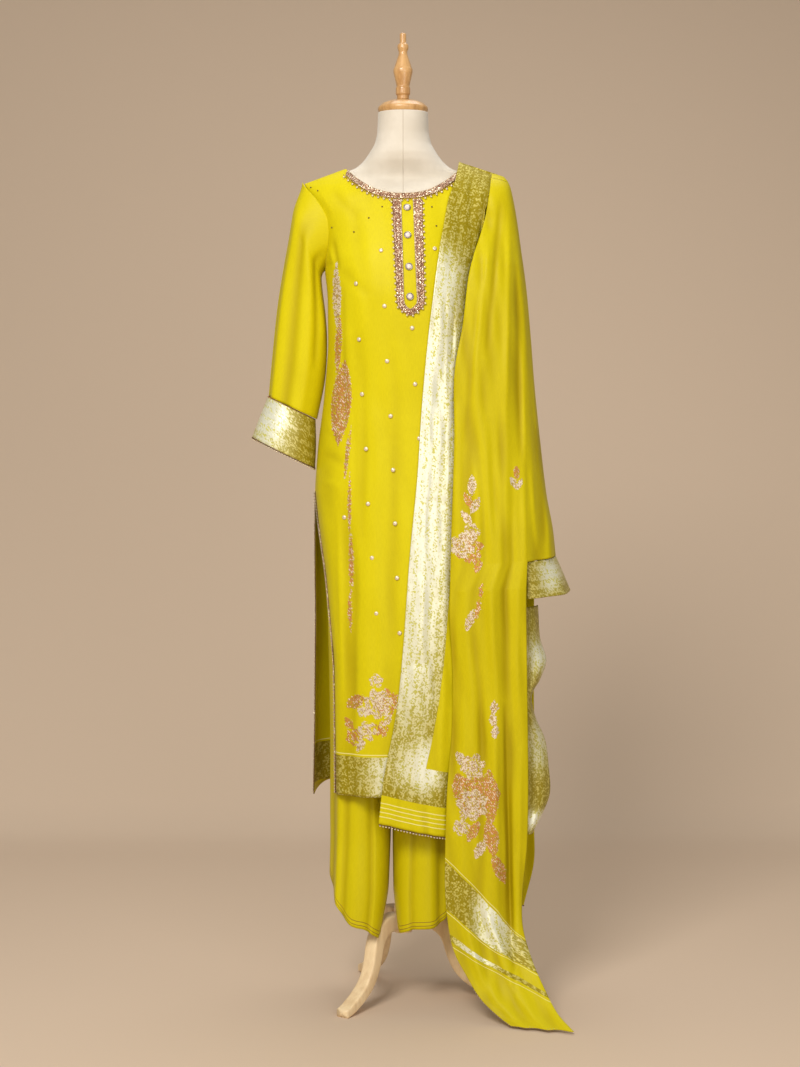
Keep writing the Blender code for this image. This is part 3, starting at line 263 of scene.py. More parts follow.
OUTER_CREASES = (
    (0.18, 1.48, 0.15, 1.18, 0.006, -0.0032), (0.195, 1.46, 0.186, 1.06, 0.006, 0.003),
    (0.205, 1.4, 0.214, 1.0, 0.006, -0.0034), (0.16, 1.42, 0.128, 1.15, 0.006, 0.0028),
    (0.222, 1.3, 0.24, 0.9, 0.006, 0.003), (0.136, 1.3, 0.112, 1.02, 0.006, -0.0026),
    (0.1, 1.15, 0.1, 0.76, 0.006, 0.0026), (0.118, 1.1, 0.13, 0.7, 0.007, -0.003),
    (0.15, 1.15, 0.16, 0.62, 0.008, 0.0034), (0.176, 1.1, 0.188, 0.56, 0.007, -0.0034),
    (0.205, 1.0, 0.207, 0.48, 0.007, 0.0032), (0.246, 1.06, 0.262, 0.84, 0.006, -0.0028),
    (0.232, 0.98, 0.244, 0.83, 0.005, 0.0024), (0.092, 0.76, 0.09, 0.36, 0.006, -0.0028),
    (0.11, 0.64, 0.104, 0.24, 0.006, 0.0028), (0.14, 0.62, 0.14, 0.16, 0.007, -0.003),
    (0.166, 0.56, 0.172, 0.12, 0.007, 0.0034), (0.194, 0.52, 0.19, 0.1, 0.006, -0.0044),
    (0.212, 0.48, 0.208, 0.14, 0.005, 0.003), (0.183, 0.56, 0.198, 0.05, 0.005, -0.0085),
    (0.092, 0.24, 0.15, 0.04, 0.007, 0.003), (0.12, 0.22, 0.2, 0.03, 0.007, -0.0036),
    (0.15, 0.18, 0.23, 0.02, 0.007, 0.003),
)
BACK_DRAPE_CREASES = (
    (0.17, 1.48, 0.14, 1.0, 0.007, -0.0034), (0.15, 1.45, 0.11, 0.95, 0.007, 0.0034),
    (0.195, 1.44, 0.19, 0.9, 0.007, 0.0034), (0.12, 1.3, 0.085, 0.6, 0.008, -0.0036),
    (0.21, 1.25, 0.215, 0.5, 0.008, -0.0036), (0.16, 0.9, 0.16, 0.2, 0.009, 0.0036),
    (0.07, 1.1, 0.06, 0.3, 0.008, 0.003), (0.23, 0.8, 0.23, 0.2, 0.007, 0.003),
    (0.11, 0.6, 0.115, 0.18, 0.008, 0.003),
)

# Woven motifs. A flower is petals round a centre; a leaf is a pointed oval.
# columns: kind, across, up, size, petals or slimness, turn in degrees, thread (0 silver, 1 copper)
FRONT_MOTIFS = (
    ("flower", -0.049, 0.599, 0.014, 5, 10, 0), ("flower", -0.031, 0.56, 0.026, 7, 35, 1),
    ("flower", -0.045, 0.557, 0.028, 7, 10, 0), ("leaf", -0.086, 0.56, 0.021, 0.55, 35, 1),
    ("flower", -0.071, 0.545, 0.013, 6, 0, 0), ("flower", -0.088, 0.496, 0.017, 6, 20, 1),
    ("flower", -0.064, 0.508, 0.019, 6, 50, 0), ("flower", -0.04, 0.512, 0.015, 5, 10, 1),
    ("leaf", -0.098, 0.52, 0.014, 0.5, 120, 1), ("leaf", -0.076, 0.482, 0.015, 0.45, 60, 0),
    ("leaf", -0.028, 0.528, 0.014, 0.5, 60, 0), ("leaf", -0.112, 1.1, 0.082, 0.235, 85, 1),
    ("leaf", -0.121, 1.295, 0.062, 0.13, 91, 0), ("leaf", -0.118, 1.205, 0.06, 0.105, 88, 1),
    ("leaf", -0.1, 1.005, 0.05, 0.09, 83, 1), ("leaf", -0.096, 0.915, 0.06, 0.06, 89, 1),
    ("leaf", -0.094, 0.81, 0.062, 0.072, 90, 1), ("leaf", -0.096, 0.72, 0.035, 0.11, 92, 1),
)
DRAPE_MOTIFS = (
    ("leaf", 0.124, 0.95, 0.02, 0.4, 88, 0), ("leaf", 0.118, 0.922, 0.018, 0.4, 115, 1),
    ("leaf", 0.13, 0.914, 0.018, 0.4, 65, 0), ("leaf", 0.114, 0.892, 0.017, 0.42, 125, 0),
    ("flower", 0.118, 0.838, 0.028, 7, 10, 1), ("flower", 0.108, 0.842, 0.024, 6, 30, 0),
    ("flower", 0.124, 0.866, 0.016, 5, 0, 0), ("leaf", 0.134, 0.81, 0.02, 0.4, 290, 1),
    ("leaf", 0.138, 0.77, 0.024, 0.24, 275, 1), ("leaf", 0.134, 0.728, 0.02, 0.26, 260, 1),
    ("leaf", 0.12, 0.708, 0.022, 0.36, 250, 0), ("leaf", 0.205, 0.972, 0.014, 0.44, 90, 1),
    ("leaf", 0.2, 0.954, 0.013, 0.46, 120, 0), ("leaf", 0.21, 0.952, 0.013, 0.44, 60, 0),
    ("leaf", 0.164, 0.552, 0.014, 0.55, 90, 0), ("leaf", 0.162, 0.53, 0.014, 0.5, 95, 0),
    ("leaf", 0.165, 0.508, 0.014, 0.5, 85, 0), ("flower", 0.136, 0.396, 0.04, 8, 0, 1),
    ("leaf", 0.104, 0.404, 0.034, 0.46, 100, 1), ("leaf", 0.156, 0.392, 0.052, 0.3, 92, 1),
    ("flower", 0.124, 0.378, 0.03, 7, 20, 0), ("flower", 0.126, 0.446, 0.024, 6, 10, 0),
    ("leaf", 0.108, 0.456, 0.022, 0.44, 130, 0), ("flower", 0.104, 0.338, 0.016, 6, 15, 0),
    ("leaf", 0.126, 0.33, 0.022, 0.44, 60, 1), ("leaf", 0.138, 0.298, 0.02, 0.48, 60, 0),
    ("leaf", 0.158, 0.318, 0.036, 0.38, 280, 1), ("leaf", 0.172, 0.262, 0.032, 0.34, 292, 1),
)
# Painted highlights on the zari: where its threads are coloured silver-white as if they caught the light.
# columns: across, up, reach across, reach up, strength
FRONT_PAINTED_HIGHLIGHT = ((-0.03, 0.43, 0.05, 0.06, 0.55), (0.01, 0.42, 0.04, 0.06, 0.5))
PLEAT_PAINTED_HIGHLIGHT = (
    (0.07, 1.33, 0.04, 0.06, 0.65), (0.05, 1.2, 0.06, 0.11, 0.75), (0.045, 1.05, 0.07, 0.11, 0.7),
    (0.035, 0.88, 0.07, 0.12, 0.78), (0.03, 0.72, 0.07, 0.11, 0.62), (0.01, 0.58, 0.06, 0.09, 0.55),
    (0.04, 0.44, 0.03, 0.045, 1.0), (-0.01, 0.44, 0.03, 0.05, 0.35),
)
FALL_PAINTED_HIGHLIGHT = ((0.165, 0.185, 0.04, 0.055, 1.0), (0.12, 0.11, 0.06, 0.03, 0.8), (0.245, 0.15, 0.03, 0.06, 0.5))
CUFF_PAINTED_HIGHLIGHT = ((-0.245, 1.07, 0.045, 0.06, 1.0), (0.25, 1.0, 0.05, 0.07, 0.6))
BORDER_PAINTED_HIGHLIGHT = ((0.27, 0.79, 0.03, 0.04, 0.8),)
CASCADE_PAINTED_HIGHLIGHT = ((0.25, 0.64, 0.03, 0.04, 0.8), (0.25, 0.48, 0.03, 0.06, 0.6), (0.24, 0.34, 0.03, 0.02, 0.9))
SEQUIN_RADIUS = 0.004
# columns: x, z
SEQUINS = (
    (-0.0845, 1.3144), (-0.0791, 1.2137), (-0.0738, 1.1148), (-0.0666, 1.0158), (-0.063, 0.9169),
    (-0.0558, 0.8198), (-0.0396, 1.3738), (-0.0333, 1.2731), (-0.0288, 1.1741), (-0.0225, 1.0752),
    (-0.018, 0.978), (-0.0144, 0.8818), (-0.0108, 0.7838), (0.0567, 1.3774), (0.0162, 1.2335),
    (0.0216, 1.1327), (-0.1061, 0.8917), (0.029, 1.035), (-0.048, 0.72), (-0.006, 0.685),
)
# columns: x, z
DARK_BEADS = (
    (-0.0378, 1.4556), (0.0522, 1.4556), (-0.089, 1.4098), (-0.1295, 1.4206), (-0.1565, 1.4907),
    (-0.17, 1.498), (-0.062, 1.435), (0.06, 1.42),
)

# Form and stand
# columns: height, half width, depth of the front, depth of the back
FORM_RINGS = (
    (0.742, 0.118, 0.085, 0.075), (0.8, 0.134, 0.096, 0.084), (0.86, 0.138, 0.098, 0.087),
    (0.95, 0.131, 0.096, 0.078), (1.03, 0.116, 0.09, 0.068), (1.06, 0.112, 0.089, 0.066),
    (1.12, 0.115, 0.096, 0.068), (1.2, 0.122, 0.107, 0.074), (1.27, 0.126, 0.114, 0.078),
    (1.33, 0.127, 0.11, 0.08), (1.38, 0.126, 0.098, 0.078), (1.43, 0.129, 0.082, 0.07),
    (1.468, 0.141, 0.07, 0.06), (1.49, 0.15, 0.06, 0.052), (1.504, 0.152, 0.046, 0.042),
    (1.514, 0.147, 0.036, 0.034), (1.522, 0.125, 0.036, 0.034), (1.5295, 0.104, 0.039, 0.037),
    (1.5365, 0.087, 0.043, 0.041), (1.548, 0.074, 0.05, 0.049), (1.562, 0.064, 0.053, 0.052),
    (1.58, 0.053, 0.05, 0.05), (1.6, 0.048, 0.047, 0.047), (1.639, 0.0465, 0.0465, 0.0465),
)
# columns: radius, height
CAP = (
    (0.012, 1.664), (0.025, 1.662), (0.038, 1.657), (0.046, 1.65), (0.047, 1.6465), (0.0455, 1.642),
    (0.044, 1.6395),
)
FINIAL = (
    (0.0042, 1.788), (0.006, 1.786), (0.0058, 1.77), (0.01, 1.766), (0.0104, 1.76), (0.0078, 1.753),
    (0.0082, 1.748), (0.0165, 1.723), (0.0178, 1.721), (0.0178, 1.715), (0.0172, 1.713), (0.0118, 1.689),
    (0.0134, 1.686), (0.0134, 1.674), (0.0112, 1.672), (0.0112, 1.6645),
)
LEG_BEARINGS = (-126.0, -6.0, 114.0)
LEG_HALF_WIDTH = 0.013
# Middle line of a tripod leg.
# columns: distance from the axis, height, half thickness
LEG_LINE = (
    (0.0185, 0.1425, 0.0155), (0.0412, 0.1425, 0.016), (0.0618, 0.139, 0.0165), (0.0794, 0.124, 0.0155),
    (0.0886, 0.105, 0.0145), (0.0933, 0.086, 0.0135), (0.1015, 0.064, 0.0125), (0.1154, 0.044, 0.0115),
    (0.136, 0.028, 0.0105), (0.16, 0.015, 0.0095), (0.179, 0.0082, 0.0084), (0.185, 0.0075, 0.0078),
)

# Photograph's view
EYE_DISTANCE = 3.8
EYE_HEIGHT = 1.05
METRES_PER_PIXEL = 0.00186
IMAGE = (800, 1067)
AXIS_PIXEL = 403
HORIZON_PIXEL = 430
SENSOR = 36.0


# Shader maths

class Value:
    """A shader socket that takes part in Python expressions."""

    def __init__(self, look, socket):
        self.look = look
        self.socket = socket

    def sum(self, operation, first, second):
        """Work out one sum of two values in the material."""
        return self.look.node("ShaderNodeMath", {"operation": operation}, {0: first, 1: second})

    def __add__(self, other):
        return self.sum("ADD", self, other)

    def __radd__(self, other):
        return self.sum("ADD", other, self)

    def __sub__(self, other):
        return self.sum("SUBTRACT", self, other)

    def __rsub__(self, other):
        return self.sum("SUBTRACT", other, self)

    def __mul__(self, other):
        return self.sum("MULTIPLY", self, other)

    def __rmul__(self, other):
        return self.sum("MULTIPLY", other, self)

    def __truediv__(self, other):
        return self.sum("DIVIDE", self, other)


class Look:
    """A material under construction."""

    def __init__(self, name, **fixed):
        self.material = bpy.data.materials.new(name)
        self.material.use_nodes = True
        self.tree = self.material.node_tree
        self.shader = self.tree.nodes["Principled BSDF"]
        for socket, value in fixed.items():
            self.shader.inputs[socket.replace("_", " ")].default_value = value

    def node(self, kind, settings=None, values=None, output=0):
        """Add a node: its settings first, then the values or links of its sockets."""
        made = self.tree.nodes.new(kind)
        for key, value in (settings or {}).items():
            setattr(made, key, value)
        for key, value in (values or {}).items():
            self.feed(made.inputs[key], value)
        return Value(self, made.outputs[output])

    def feed(self, socket, value):
        """Link a value to a socket, or set the socket to a number."""
        if isinstance(value, Value):
            self.tree.links.new(value.socket, socket)
        else:
            socket.default_value = value

    def surface(self, socket, value):
        """Feed one socket of the material's own shader."""
        self.feed(self.shader.inputs[socket], value)

    def place(self):
        """The place on the object, in metres."""
        return self.node("ShaderNodeTexCoord", output="Object")

    def cut(self):
        """The cloth's own coordinates, in metres across and along the cut."""
        return self.node("ShaderNodeUVMap", {"uv_map": "cut"})

    def split(self, vector):
        """The three parts of a vector."""
        made = self.tree.nodes.new("ShaderNodeSeparateXYZ")
        self.feed(made.inputs[0], vector)
        return [Value(self, made.outputs[k]) for k in range(3)]

    def join(self, x, y, z=0.0):
        """A vector from its three parts."""
        return self.node("ShaderNodeCombineXYZ", values={0: x, 1: y, 2: z})

    def field(self, name):
        """A number stored at each point of the mesh."""
        return self.node("ShaderNodeAttribute", {"attribute_name": name}, output="Fac")

    def noise(self, vector, scale, detail=3.0, rough=0.55):
        """Soft random clouds, about 0 to 1."""
        return self.node("ShaderNodeTexNoise", values={"Vector": vector, "Scale": scale,
                                                       "Detail": detail, "Roughness": rough})

    def specks(self, across, along, scale):
        """A number from 0 to 1 for each small cell of the cloth."""
        cells = {"Vector": self.join(across, along), "Scale": scale}
        return self.split(self.node("ShaderNodeTexVoronoi", values=cells, output="Color"))[0]

    def smooth(self, value, low, high):
        """0 below low, 1 above high and a smooth step between."""
        return self.node("ShaderNodeMapRange", {"interpolation_type": "SMOOTHSTEP"},
                         {"Value": value, "From Min": low, "From Max": high})

    def sine(self, value, pitch):
        """A wave between 0 and 1 that repeats once in each pitch."""
        turned = value * (2 * math.pi / pitch)
        return self.node("ShaderNodeMath", {"operation": "SINE"}, {0: turned}) * 0.5 + 0.5

    def mix(self, first, second, share):
        """A colour between two, with this share of the second."""
        return self.node("ShaderNodeMix", {"data_type": "RGBA"}, {0: share, 6: first, 7: second}, 2)

    def most(self, first, second):
        """The larger of two values."""
        return self.node("ShaderNodeMath", {"operation": "MAXIMUM"}, {0: first, 1: second})

    def relief(self, height, depth):
        """Bump the surface by a height from 0 to 1, times the depth."""
        self.surface("Normal", self.node("ShaderNodeBump", values={"Height": height, "Distance": depth}))


SILK_LIGHT = (0.66, 0.56, 0.003, 1)
SILK_DEEP = (0.6, 0.5, 0.002, 1)
# painted shade: the colour laid into folds and troughs where shade falls
SILK_PAINTED_FOLD_SHADE = (0.33, 0.235, 0.001, 1)
# The next four: painted-highlight and shaded copies of the zari's threads and of their ground.
ZARI_PAINTED_HIGHLIGHT = (0.86, 0.86, 0.68, 1)
ZARI_THREAD_SHADED = (0.56, 0.48, 0.11, 1)
ZARI_GROUND_SHADED = (0.3, 0.23, 0.006, 1)
ZARI_GROUND_PAINTED_HIGHLIGHT = (0.62, 0.59, 0.14, 1)
PINK_SILVER = (0.78, 0.66, 0.5, 1)
PINK_THREAD = (0.46, 0.29, 0.13, 1)
COPPER_THREAD = (0.58, 0.25, 0.06, 1)
BRONZE_THREAD = (0.42, 0.24, 0.06, 1)
PALE_LINE = (0.82, 0.78, 0.32, 1)
BROWN_LINE = (0.25, 0.13, 0.02, 1)


def line_mask(look, place, low, high, soft=0.0004):
    """1 between low and high, with soft edges."""
    return look.smooth(place, low - soft, low + soft) * (1 - look.smooth(place, high - soft, high + soft))


def brocade(look, across, along):
    """Zari woven in small cells, with long stripes and a running zigzag: colour with painted highlights, metal
    amount and relief.

    The painted highlight field, with random blotches, paints the highlights: pale silver threads on a pale
    ground where it is high, and the olive-gold threads and olive ground of the zari in shade where it is low;
    the metal amount rises with it.
    """
    fleck = look.specks(across, along, 360.0)
    highlight_blotch = look.noise(look.join(across * 45, along * 30), 1.0, 3.0)
    stripe = look.sine(across, 0.0165)
    zigzag = look.sine(across + look.sine(along, 0.0062) * 0.0016, 0.0055)
    weave = stripe * 0.2 + zigzag * 0.14 + fleck * 0.66
    # Painted highlight: the highlight field plus random blotches; high is lit silver-white zari, low the zari in
    # shade.
    light = look.smooth(look.field("painted_gleam") + (highlight_blotch - 0.5) * 0.5, 0.05, 0.95)
    thread = look.smooth(weave + light * 0.36, 0.5, 0.74)
    thread_with_highlight = look.mix(ZARI_THREAD_SHADED, ZARI_PAINTED_HIGHLIGHT, light)
    ground_with_highlight = look.mix(ZARI_GROUND_SHADED, ZARI_GROUND_PAINTED_HIGHLIGHT, light)
    return look.mix(ground_with_highlight, thread_with_highlight, thread), thread * (light * 0.2 + 0.1) + 0.08, weave


def silk(name, motifs=False, gold_lines=(), line=PALE_LINE, bands=(), slant=0.0, border=None, spread=0.0,
         rough=0.44, shade=0.0):
    """Silk with slubs and a fine weave; motifs, lines and zari bands are woven in.

    gold_lines and bands are places along the cut above the hem, in metres: a line is one place, a
    band two. slant turns them across the cut. border is the width of a zari strip along the left
    edge, and spread how much wider it is for each metre up. shade is the share of the painted
    fold-shade colour mixed in everywhere: a darker tone over the whole piece, partly painted shade and partly
    the thinner cloth's own deeper tone.
    """
    look = Look(name, Sheen_Weight=0.01, Sheen_Roughness=0.4, Specular_IOR_Level=0.13)
    across, along, _ = look.split(look.cut())
    slub = look.noise(look.join(across * 700, along * 90), 1.0, 2.0)
    cloud = look.noise(look.place(), 6.0, 3.0)
    weave = look.noise(look.join(across * 1500, along * 1500), 1.0, 1.0)
    colour = look.mix(SILK_DEEP, SILK_LIGHT, look.smooth(cloud * 0.6 + slub * 0.4, 0.35, 0.65))
    # Painted shade: the fold-shade colour goes into the folds by the fold-shade field, and over the whole piece
    # by shade.
    colour = look.mix(colour, SILK_PAINTED_FOLD_SHADE, look.field("painted_shade") * (1 - shade) + shade)
    metal = None
    height = slub * 0.6 + weave * 0.4
    if motifs:
        fleck = look.specks(across, along, 430.0)
        wobble = (look.noise(look.join(across * 240, along * 240), 1.0, 2.0) - 0.5) * 0.004
        hatch = look.sine(across * 0.8 + along * 0.6, 0.0032)
        grain = fleck * 0.75 + hatch * 0.25
        ragged = wobble + (fleck - 0.6) * 0.003
        silver = look.smooth(look.field("silver") + ragged, 0.0, 0.0006)
        copper = look.smooth(look.field("copper") + ragged, 0.0, 0.0006)
        tan = look.mix(BRONZE_THREAD, COPPER_THREAD, look.smooth(grain, 0.3, 0.45))
        tan = look.mix(tan, PINK_SILVER, look.smooth(grain, 0.72, 0.8))
        colour = look.mix(colour, tan, copper * look.smooth(grain, 0.18, 0.26))
        pale = look.mix(PINK_THREAD, PINK_SILVER, look.smooth(grain, 0.42, 0.56))
        colour = look.mix(colour, pale, silver * look.smooth(grain, 0.16, 0.24))
        metal = look.most(silver, copper) * 0.3
        height = height + look.most(silver, copper) * grain
    place = along + across * slant
    for at in gold_lines:
        mask = line_mask(look, place, at - 0.0007, at + 0.0007)
        colour = look.mix(colour, line, mask * 0.9)
    zari = None
    for low, high in bands:
        mask = line_mask(look, place, low, high)
        zari = mask if zari is None else look.most(zari, mask)
    if border:
        mask = 1 - look.smooth(across - along * spread, border - 0.0006, border + 0.0002)
        if bands:
            mask = mask * look.smooth(along, bands[0][0] - 0.0004, bands[0][0] + 0.0004)
        zari = mask if zari is None else look.most(zari, mask)
    if zari is not None:
        woven, painted_gleam, raised = brocade(look, across, along)
        colour = look.mix(colour, woven, zari)
        metal = zari * painted_gleam if metal is None else look.most(metal, zari * painted_gleam)
        height = height * (1 - zari * 0.5) + zari * raised
    look.surface("Base Color", colour)
    if metal is None:
        look.surface("Roughness", rough + slub * 0.06)
    else:
        look.surface("Metallic", metal)
        look.surface("Roughness", rough - metal * 0.12 + slub * 0.06)
    look.relief(height, 0.0003)
    return look.material


def zari_cloth(name):
    """A strip of zari brocade."""
    look = Look(name, Specular_IOR_Level=0.5)
    across, along, _ = look.split(look.cut())
    woven, painted_gleam, raised = brocade(look, across, along)
    look.surface("Base Color", woven)
    look.surface("Metallic", painted_gleam)
    look.surface("Roughness", 0.4 - painted_gleam * 0.1)
    look.relief(raised, 0.0004)
    return look.material


def beading(name):
    """Close rose-gold stitching and cut beads: small cells of brown, copper and pale gold."""
    look = Look(name, Specular_IOR_Level=0.6)
    cell = look.node("ShaderNodeTexVoronoi", values={"Vector": look.place(), "Scale": 520.0}, output="Color")
    pick, other, _ = look.split(cell)
    colour = look.mix((0.2, 0.085, 0.04, 1), (0.48, 0.3, 0.18, 1), look.smooth(pick, 0.3, 0.9))
    colour = look.mix(colour, (0.8, 0.7, 0.52, 1), look.smooth(other, 0.8, 0.86))
    look.surface("Base Color", colour)
    look.surface("Metallic", other * 0.6 + 0.2)
    look.surface("Roughness", 0.45 - pick * 0.2)
    gap = look.node("ShaderNodeTexVoronoi", values={"Vector": look.place(), "Scale": 520.0})
    look.relief(1 - gap, 0.0008)
    return look.material


def plain(name, colour, rough, metallic=0.0, grain=60.0, contrast=0.15, depth=0.0002, **fixed):
    """A finish with a little cloudy change of colour and a fine grain."""
    look = Look(name, Metallic=metallic, **fixed)
    grain_value = look.noise(look.place(), grain, 4.0)
    dark = tuple(c * (1 - contrast) for c in colour)
    look.surface("Base Color", look.mix((*dark, 1), (*colour, 1), look.smooth(grain_value, 0.3, 0.7)))
    look.surface("Roughness", rough + grain_value * 0.08)
    look.relief(grain_value, depth)
    return look.material


def wood(name, light, dark, rough, stretch, coat=0.3):
    """Wood: rings of noise drawn out along the grain, with fine pores."""
    look = Look(name, Coat_Weight=coat, Coat_Roughness=0.2)
    x, y, z = look.split(look.place())
    grain = look.noise(look.join(x * 60, y * 60, z * stretch), 1.0, 5.0, 0.6)
    pore = look.noise(look.join(x * 700, y * 700, z * stretch * 6), 1.0, 2.0)
    look.surface("Base Color", look.mix(dark, light, look.smooth(grain * 0.8 + pore * 0.2, 0.32, 0.62)))
    look.surface("Roughness", rough + grain * 0.12)
    look.relief(grain * 0.5 + pore * 0.5, 0.0002)
    return look.material


def form_cover():
    """Cream jersey over the form, with the fine knit and a faint seam down the middle."""
    look = Look("cream jersey", Sheen_Weight=0.3, Sheen_Roughness=0.5, Specular_IOR_Level=0.25)
    across, along, _ = look.split(look.cut())
    knit = look.sine(across, 0.0011) * look.sine(along, 0.0011)
    cloud = look.noise(look.place(), 16.0, 3.0)
    seam = 1 - look.smooth(look.field("seam"), 0.0004, 0.0013)
    colour = look.mix((0.64, 0.57, 0.46, 1), (0.72, 0.65, 0.54, 1), look.smooth(cloud, 0.3, 0.7))
    look.surface("Base Color", look.mix(colour, (0.56, 0.48, 0.37, 1), seam * 0.7))
    look.surface("Roughness", 0.72 + cloud * 0.1)
    look.relief(knit * 0.3 - seam, 0.0004)
    return look.material


# Shapes

def smooth_rows(table, count):
    """Spread table rows to count rows with a Catmull-Rom curve through them."""
    rows = np.array(table, dtype=float)
    padded = np.vstack((2 * rows[0] - rows[1], rows, 2 * rows[-1] - rows[-2]))
    place = np.linspace(0, len(rows) - 1, count)
    first = np.minimum(place.astype(int), len(rows) - 2)
    t = (place - first)[:, None]
    p0, p1, p2, p3 = (padded[first + k] for k in range(4))
    curve = 2 * p1 + (p2 - p0) * t + (2 * p0 - 5 * p1 + 4 * p2 - p3) * t**2
    return 0.5 * (curve + (3 * p1 - p0 - 3 * p2 + p3) * t**3)


def read_table(table, column, height):
    """Interpolate a column of a table whose first column is a height, with the corners rounded."""
    rows = np.array(sorted(table))
    reach = np.linspace(-SMOOTHING, SMOOTHING, 5)
    return sum(np.interp(height + step, rows[:, 0], rows[:, column]) for step in reach) / len(reach)


def arc_lengths(points, wrap):
    """Length across each row from its first point, and along each column from the last row."""
    ring = np.concatenate((points, points[:, :1]), axis=1) if wrap else points
    across = np.linalg.norm(np.diff(ring, axis=1), axis=-1)
    across = np.concatenate((np.zeros((len(points), 1)), np.cumsum(across, axis=1)), axis=1)
    down = np.linalg.norm(np.diff(ring[::-1], axis=0), axis=-1)
    along = np.concatenate((np.zeros((1, ring.shape[1])), np.cumsum(down, axis=0)), axis=0)[::-1]
    return np.stack((across, along), axis=-1)


def surface(name, points, look, wall=CLOTH, wrap=False, keep=None, fields=None, replaces=(),
            cut=None):
    """Make a piece from a grid of points, rows by columns, as quads with a wall about them.

    Its UV map "cut" holds metres across and along the cloth. fields are named grids of numbers.
    """
    rows, columns = points.shape[:2]
    cells = columns if wrap else columns - 1
    row, column = np.mgrid[0:rows - 1, 0:cells]
    if keep is not None:
        row, column = row[keep], column[keep]
    row, column = row.ravel(), column.ravel()
    after = (column + 1) % columns
    corners = np.stack((row * columns + column, (row + 1) * columns + column,
                        (row + 1) * columns + after, row * columns + after), axis=-1)
    used, compact = np.unique(corners, return_inverse=True)
    mesh = bpy.data.meshes.new(name)
    mesh.vertices.add(len(used))
    mesh.vertices.foreach_set("co", (points.reshape(-1, 3)[used] + AXIS).ravel())
    mesh.loops.add(corners.size)
    mesh.loops.foreach_set("vertex_index", compact.ravel().astype(np.int32))
    mesh.polygons.add(len(corners))
    mesh.polygons.foreach_set("loop_start", np.arange(0, corners.size, 4, dtype=np.int32))
    mesh.update(calc_edges=True)
    lengths = arc_lengths(points, wrap) if cut is None else cut
    uv = np.stack((lengths[row, column], lengths[row + 1, column],
                   lengths[row + 1, column + 1], lengths[row, column + 1]), axis=1)
    mesh.uv_layers.new(name="cut").data.foreach_set("uv", uv.ravel())
    blank = np.zeros(points.shape[:2])
    # Every piece carries painted shade and painted highlight fields, blank where none is given.
    for key, grid in {"painted_shade": blank, "painted_gleam": blank, **(fields or {})}.items():
        mesh.attributes.new(key, "FLOAT", "POINT").data.foreach_set("value", grid.reshape(-1)[used])
    mesh.materials.append(look)
    mesh.shade_smooth()
    piece = bpy.data.objects.new(name, mesh)
    bpy.context.scene.collection.objects.link(piece)
    if wall:
        solid = piece.modifiers.new("wall", "SOLIDIFY")
        solid.thickness = wall
        solid.offset = 0.0
    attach(piece, "root")
    if replaces:
        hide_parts(*replaces)
    return piece


def creases(table, x, z):
    """Sum of ridges: depth exp(-(distance from the line / spread)^2), tapered to both ends."""
    total = np.zeros(np.broadcast(x, z).shape)
    for x0, z0, x1, z1, spread, depth in table:
        run_x, run_z = x1 - x0, z1 - z0
        length = math.hypot(run_x, run_z)
        place = ((x - x0) * run_x + (z - z0) * run_z) / length**2
        off = ((x - x0) * run_z - (z - z0) * run_x) / length
        taper = np.clip(1 - (2 * place - 1) ** 2, 0, 1) ** 0.7
        total = total + depth * np.exp(-((off / spread) ** 2)) * taper
    return total


def ripple(x, z, seed, pitch, depth, stretch=3.0):
    """Sum of twelve seeded sine waves, longer up than across."""
    draw = np.random.default_rng(seed)
    total = 0.0
    for _ in range(12):
        turn, phase, size = draw.uniform(-0.5, 0.5), draw.uniform(0, 6.28), draw.uniform(0.6, 1.6)
        wave = 2 * math.pi / (pitch * size)
        total = total + np.sin(wave * (x * math.cos(turn) + z * math.sin(turn) / stretch * 2) + phase)
    return total * depth / 3.5


def spots(table, x, z):
    """Sum of soft spots: strength exp(-(distance / radius)^2), the radius taken across and up."""
    total = np.zeros(np.broadcast(x, z).shape)
    for across, up, wide, tall, strength in table:
        total = total + strength * np.exp(-(((x - across) / wide) ** 2) - ((z - up) / tall) ** 2)
    return np.clip(total, 0, 1)


def painted_shade_share(relief):
    """Share of painted fold shade, from 0 to 0.7, by how deep in a fold a place lies; full for a fold of full
    depth.
    """
    return np.clip(-relief / FOLD_DEPTH_FOR_FULL_SHADE, 0, 1) * 0.7


def motif_fields(table, x, z):
    """Fields above zero inside a motif, in metres, one for each thread.

    A flower's edge is size (0.70 + 0.30 |cos(petals angle / 2)|) with a fine ring left open.
    A leaf's edge is size slimness (1 - (along / size)^2).
    """
    fields = [np.full(x.shape, -1.0), np.full(x.shape, -1.0)]
    for kind, across, up, size, shape, turn, thread in table:
        angle = math.radians(turn)
        along = (x - across) * math.cos(angle) + (z - up) * math.sin(angle)
        side = -(x - across) * math.sin(angle) + (z - up) * math.cos(angle)
        if kind == "flower":
            distance = np.hypot(along, side)
            petal = np.abs(np.cos(np.arctan2(side, along) * shape / 2))
            field = size * (0.7 + 0.3 * petal) - distance
            ring = np.abs(distance - size * (0.42 + 0.1 * petal)) - size * 0.035
            field = np.minimum(field, ring)
        else:
            field = size * shape * (1 - (along / size) ** 2) - np.abs(side)
        fields[thread] = np.maximum(fields[thread], field)
    return {"silver": fields[0], "copper": fields[1]}


def shoulder_z(x):
    """Height of the shoulder line over a place across."""
    return NECK_SIDE_Z - SHOULDER_SLOPE * (np.abs(x) - NECK_HALF_WIDTH)


def folds(table, x, z):
    """Sum of upright folds: depth exp(-((x - middle) / spread)^2), growing down the panel."""
    total = np.zeros(np.broadcast(x, z).shape)
    for middle, spread, depth, start, full in table:
        ramp = np.clip((start - z) / (start - full), 0, 1)
        total = total + depth * np.exp(-(((x - middle) / spread) ** 2)) * ramp * ramp * (3 - 2 * ramp)
    return total


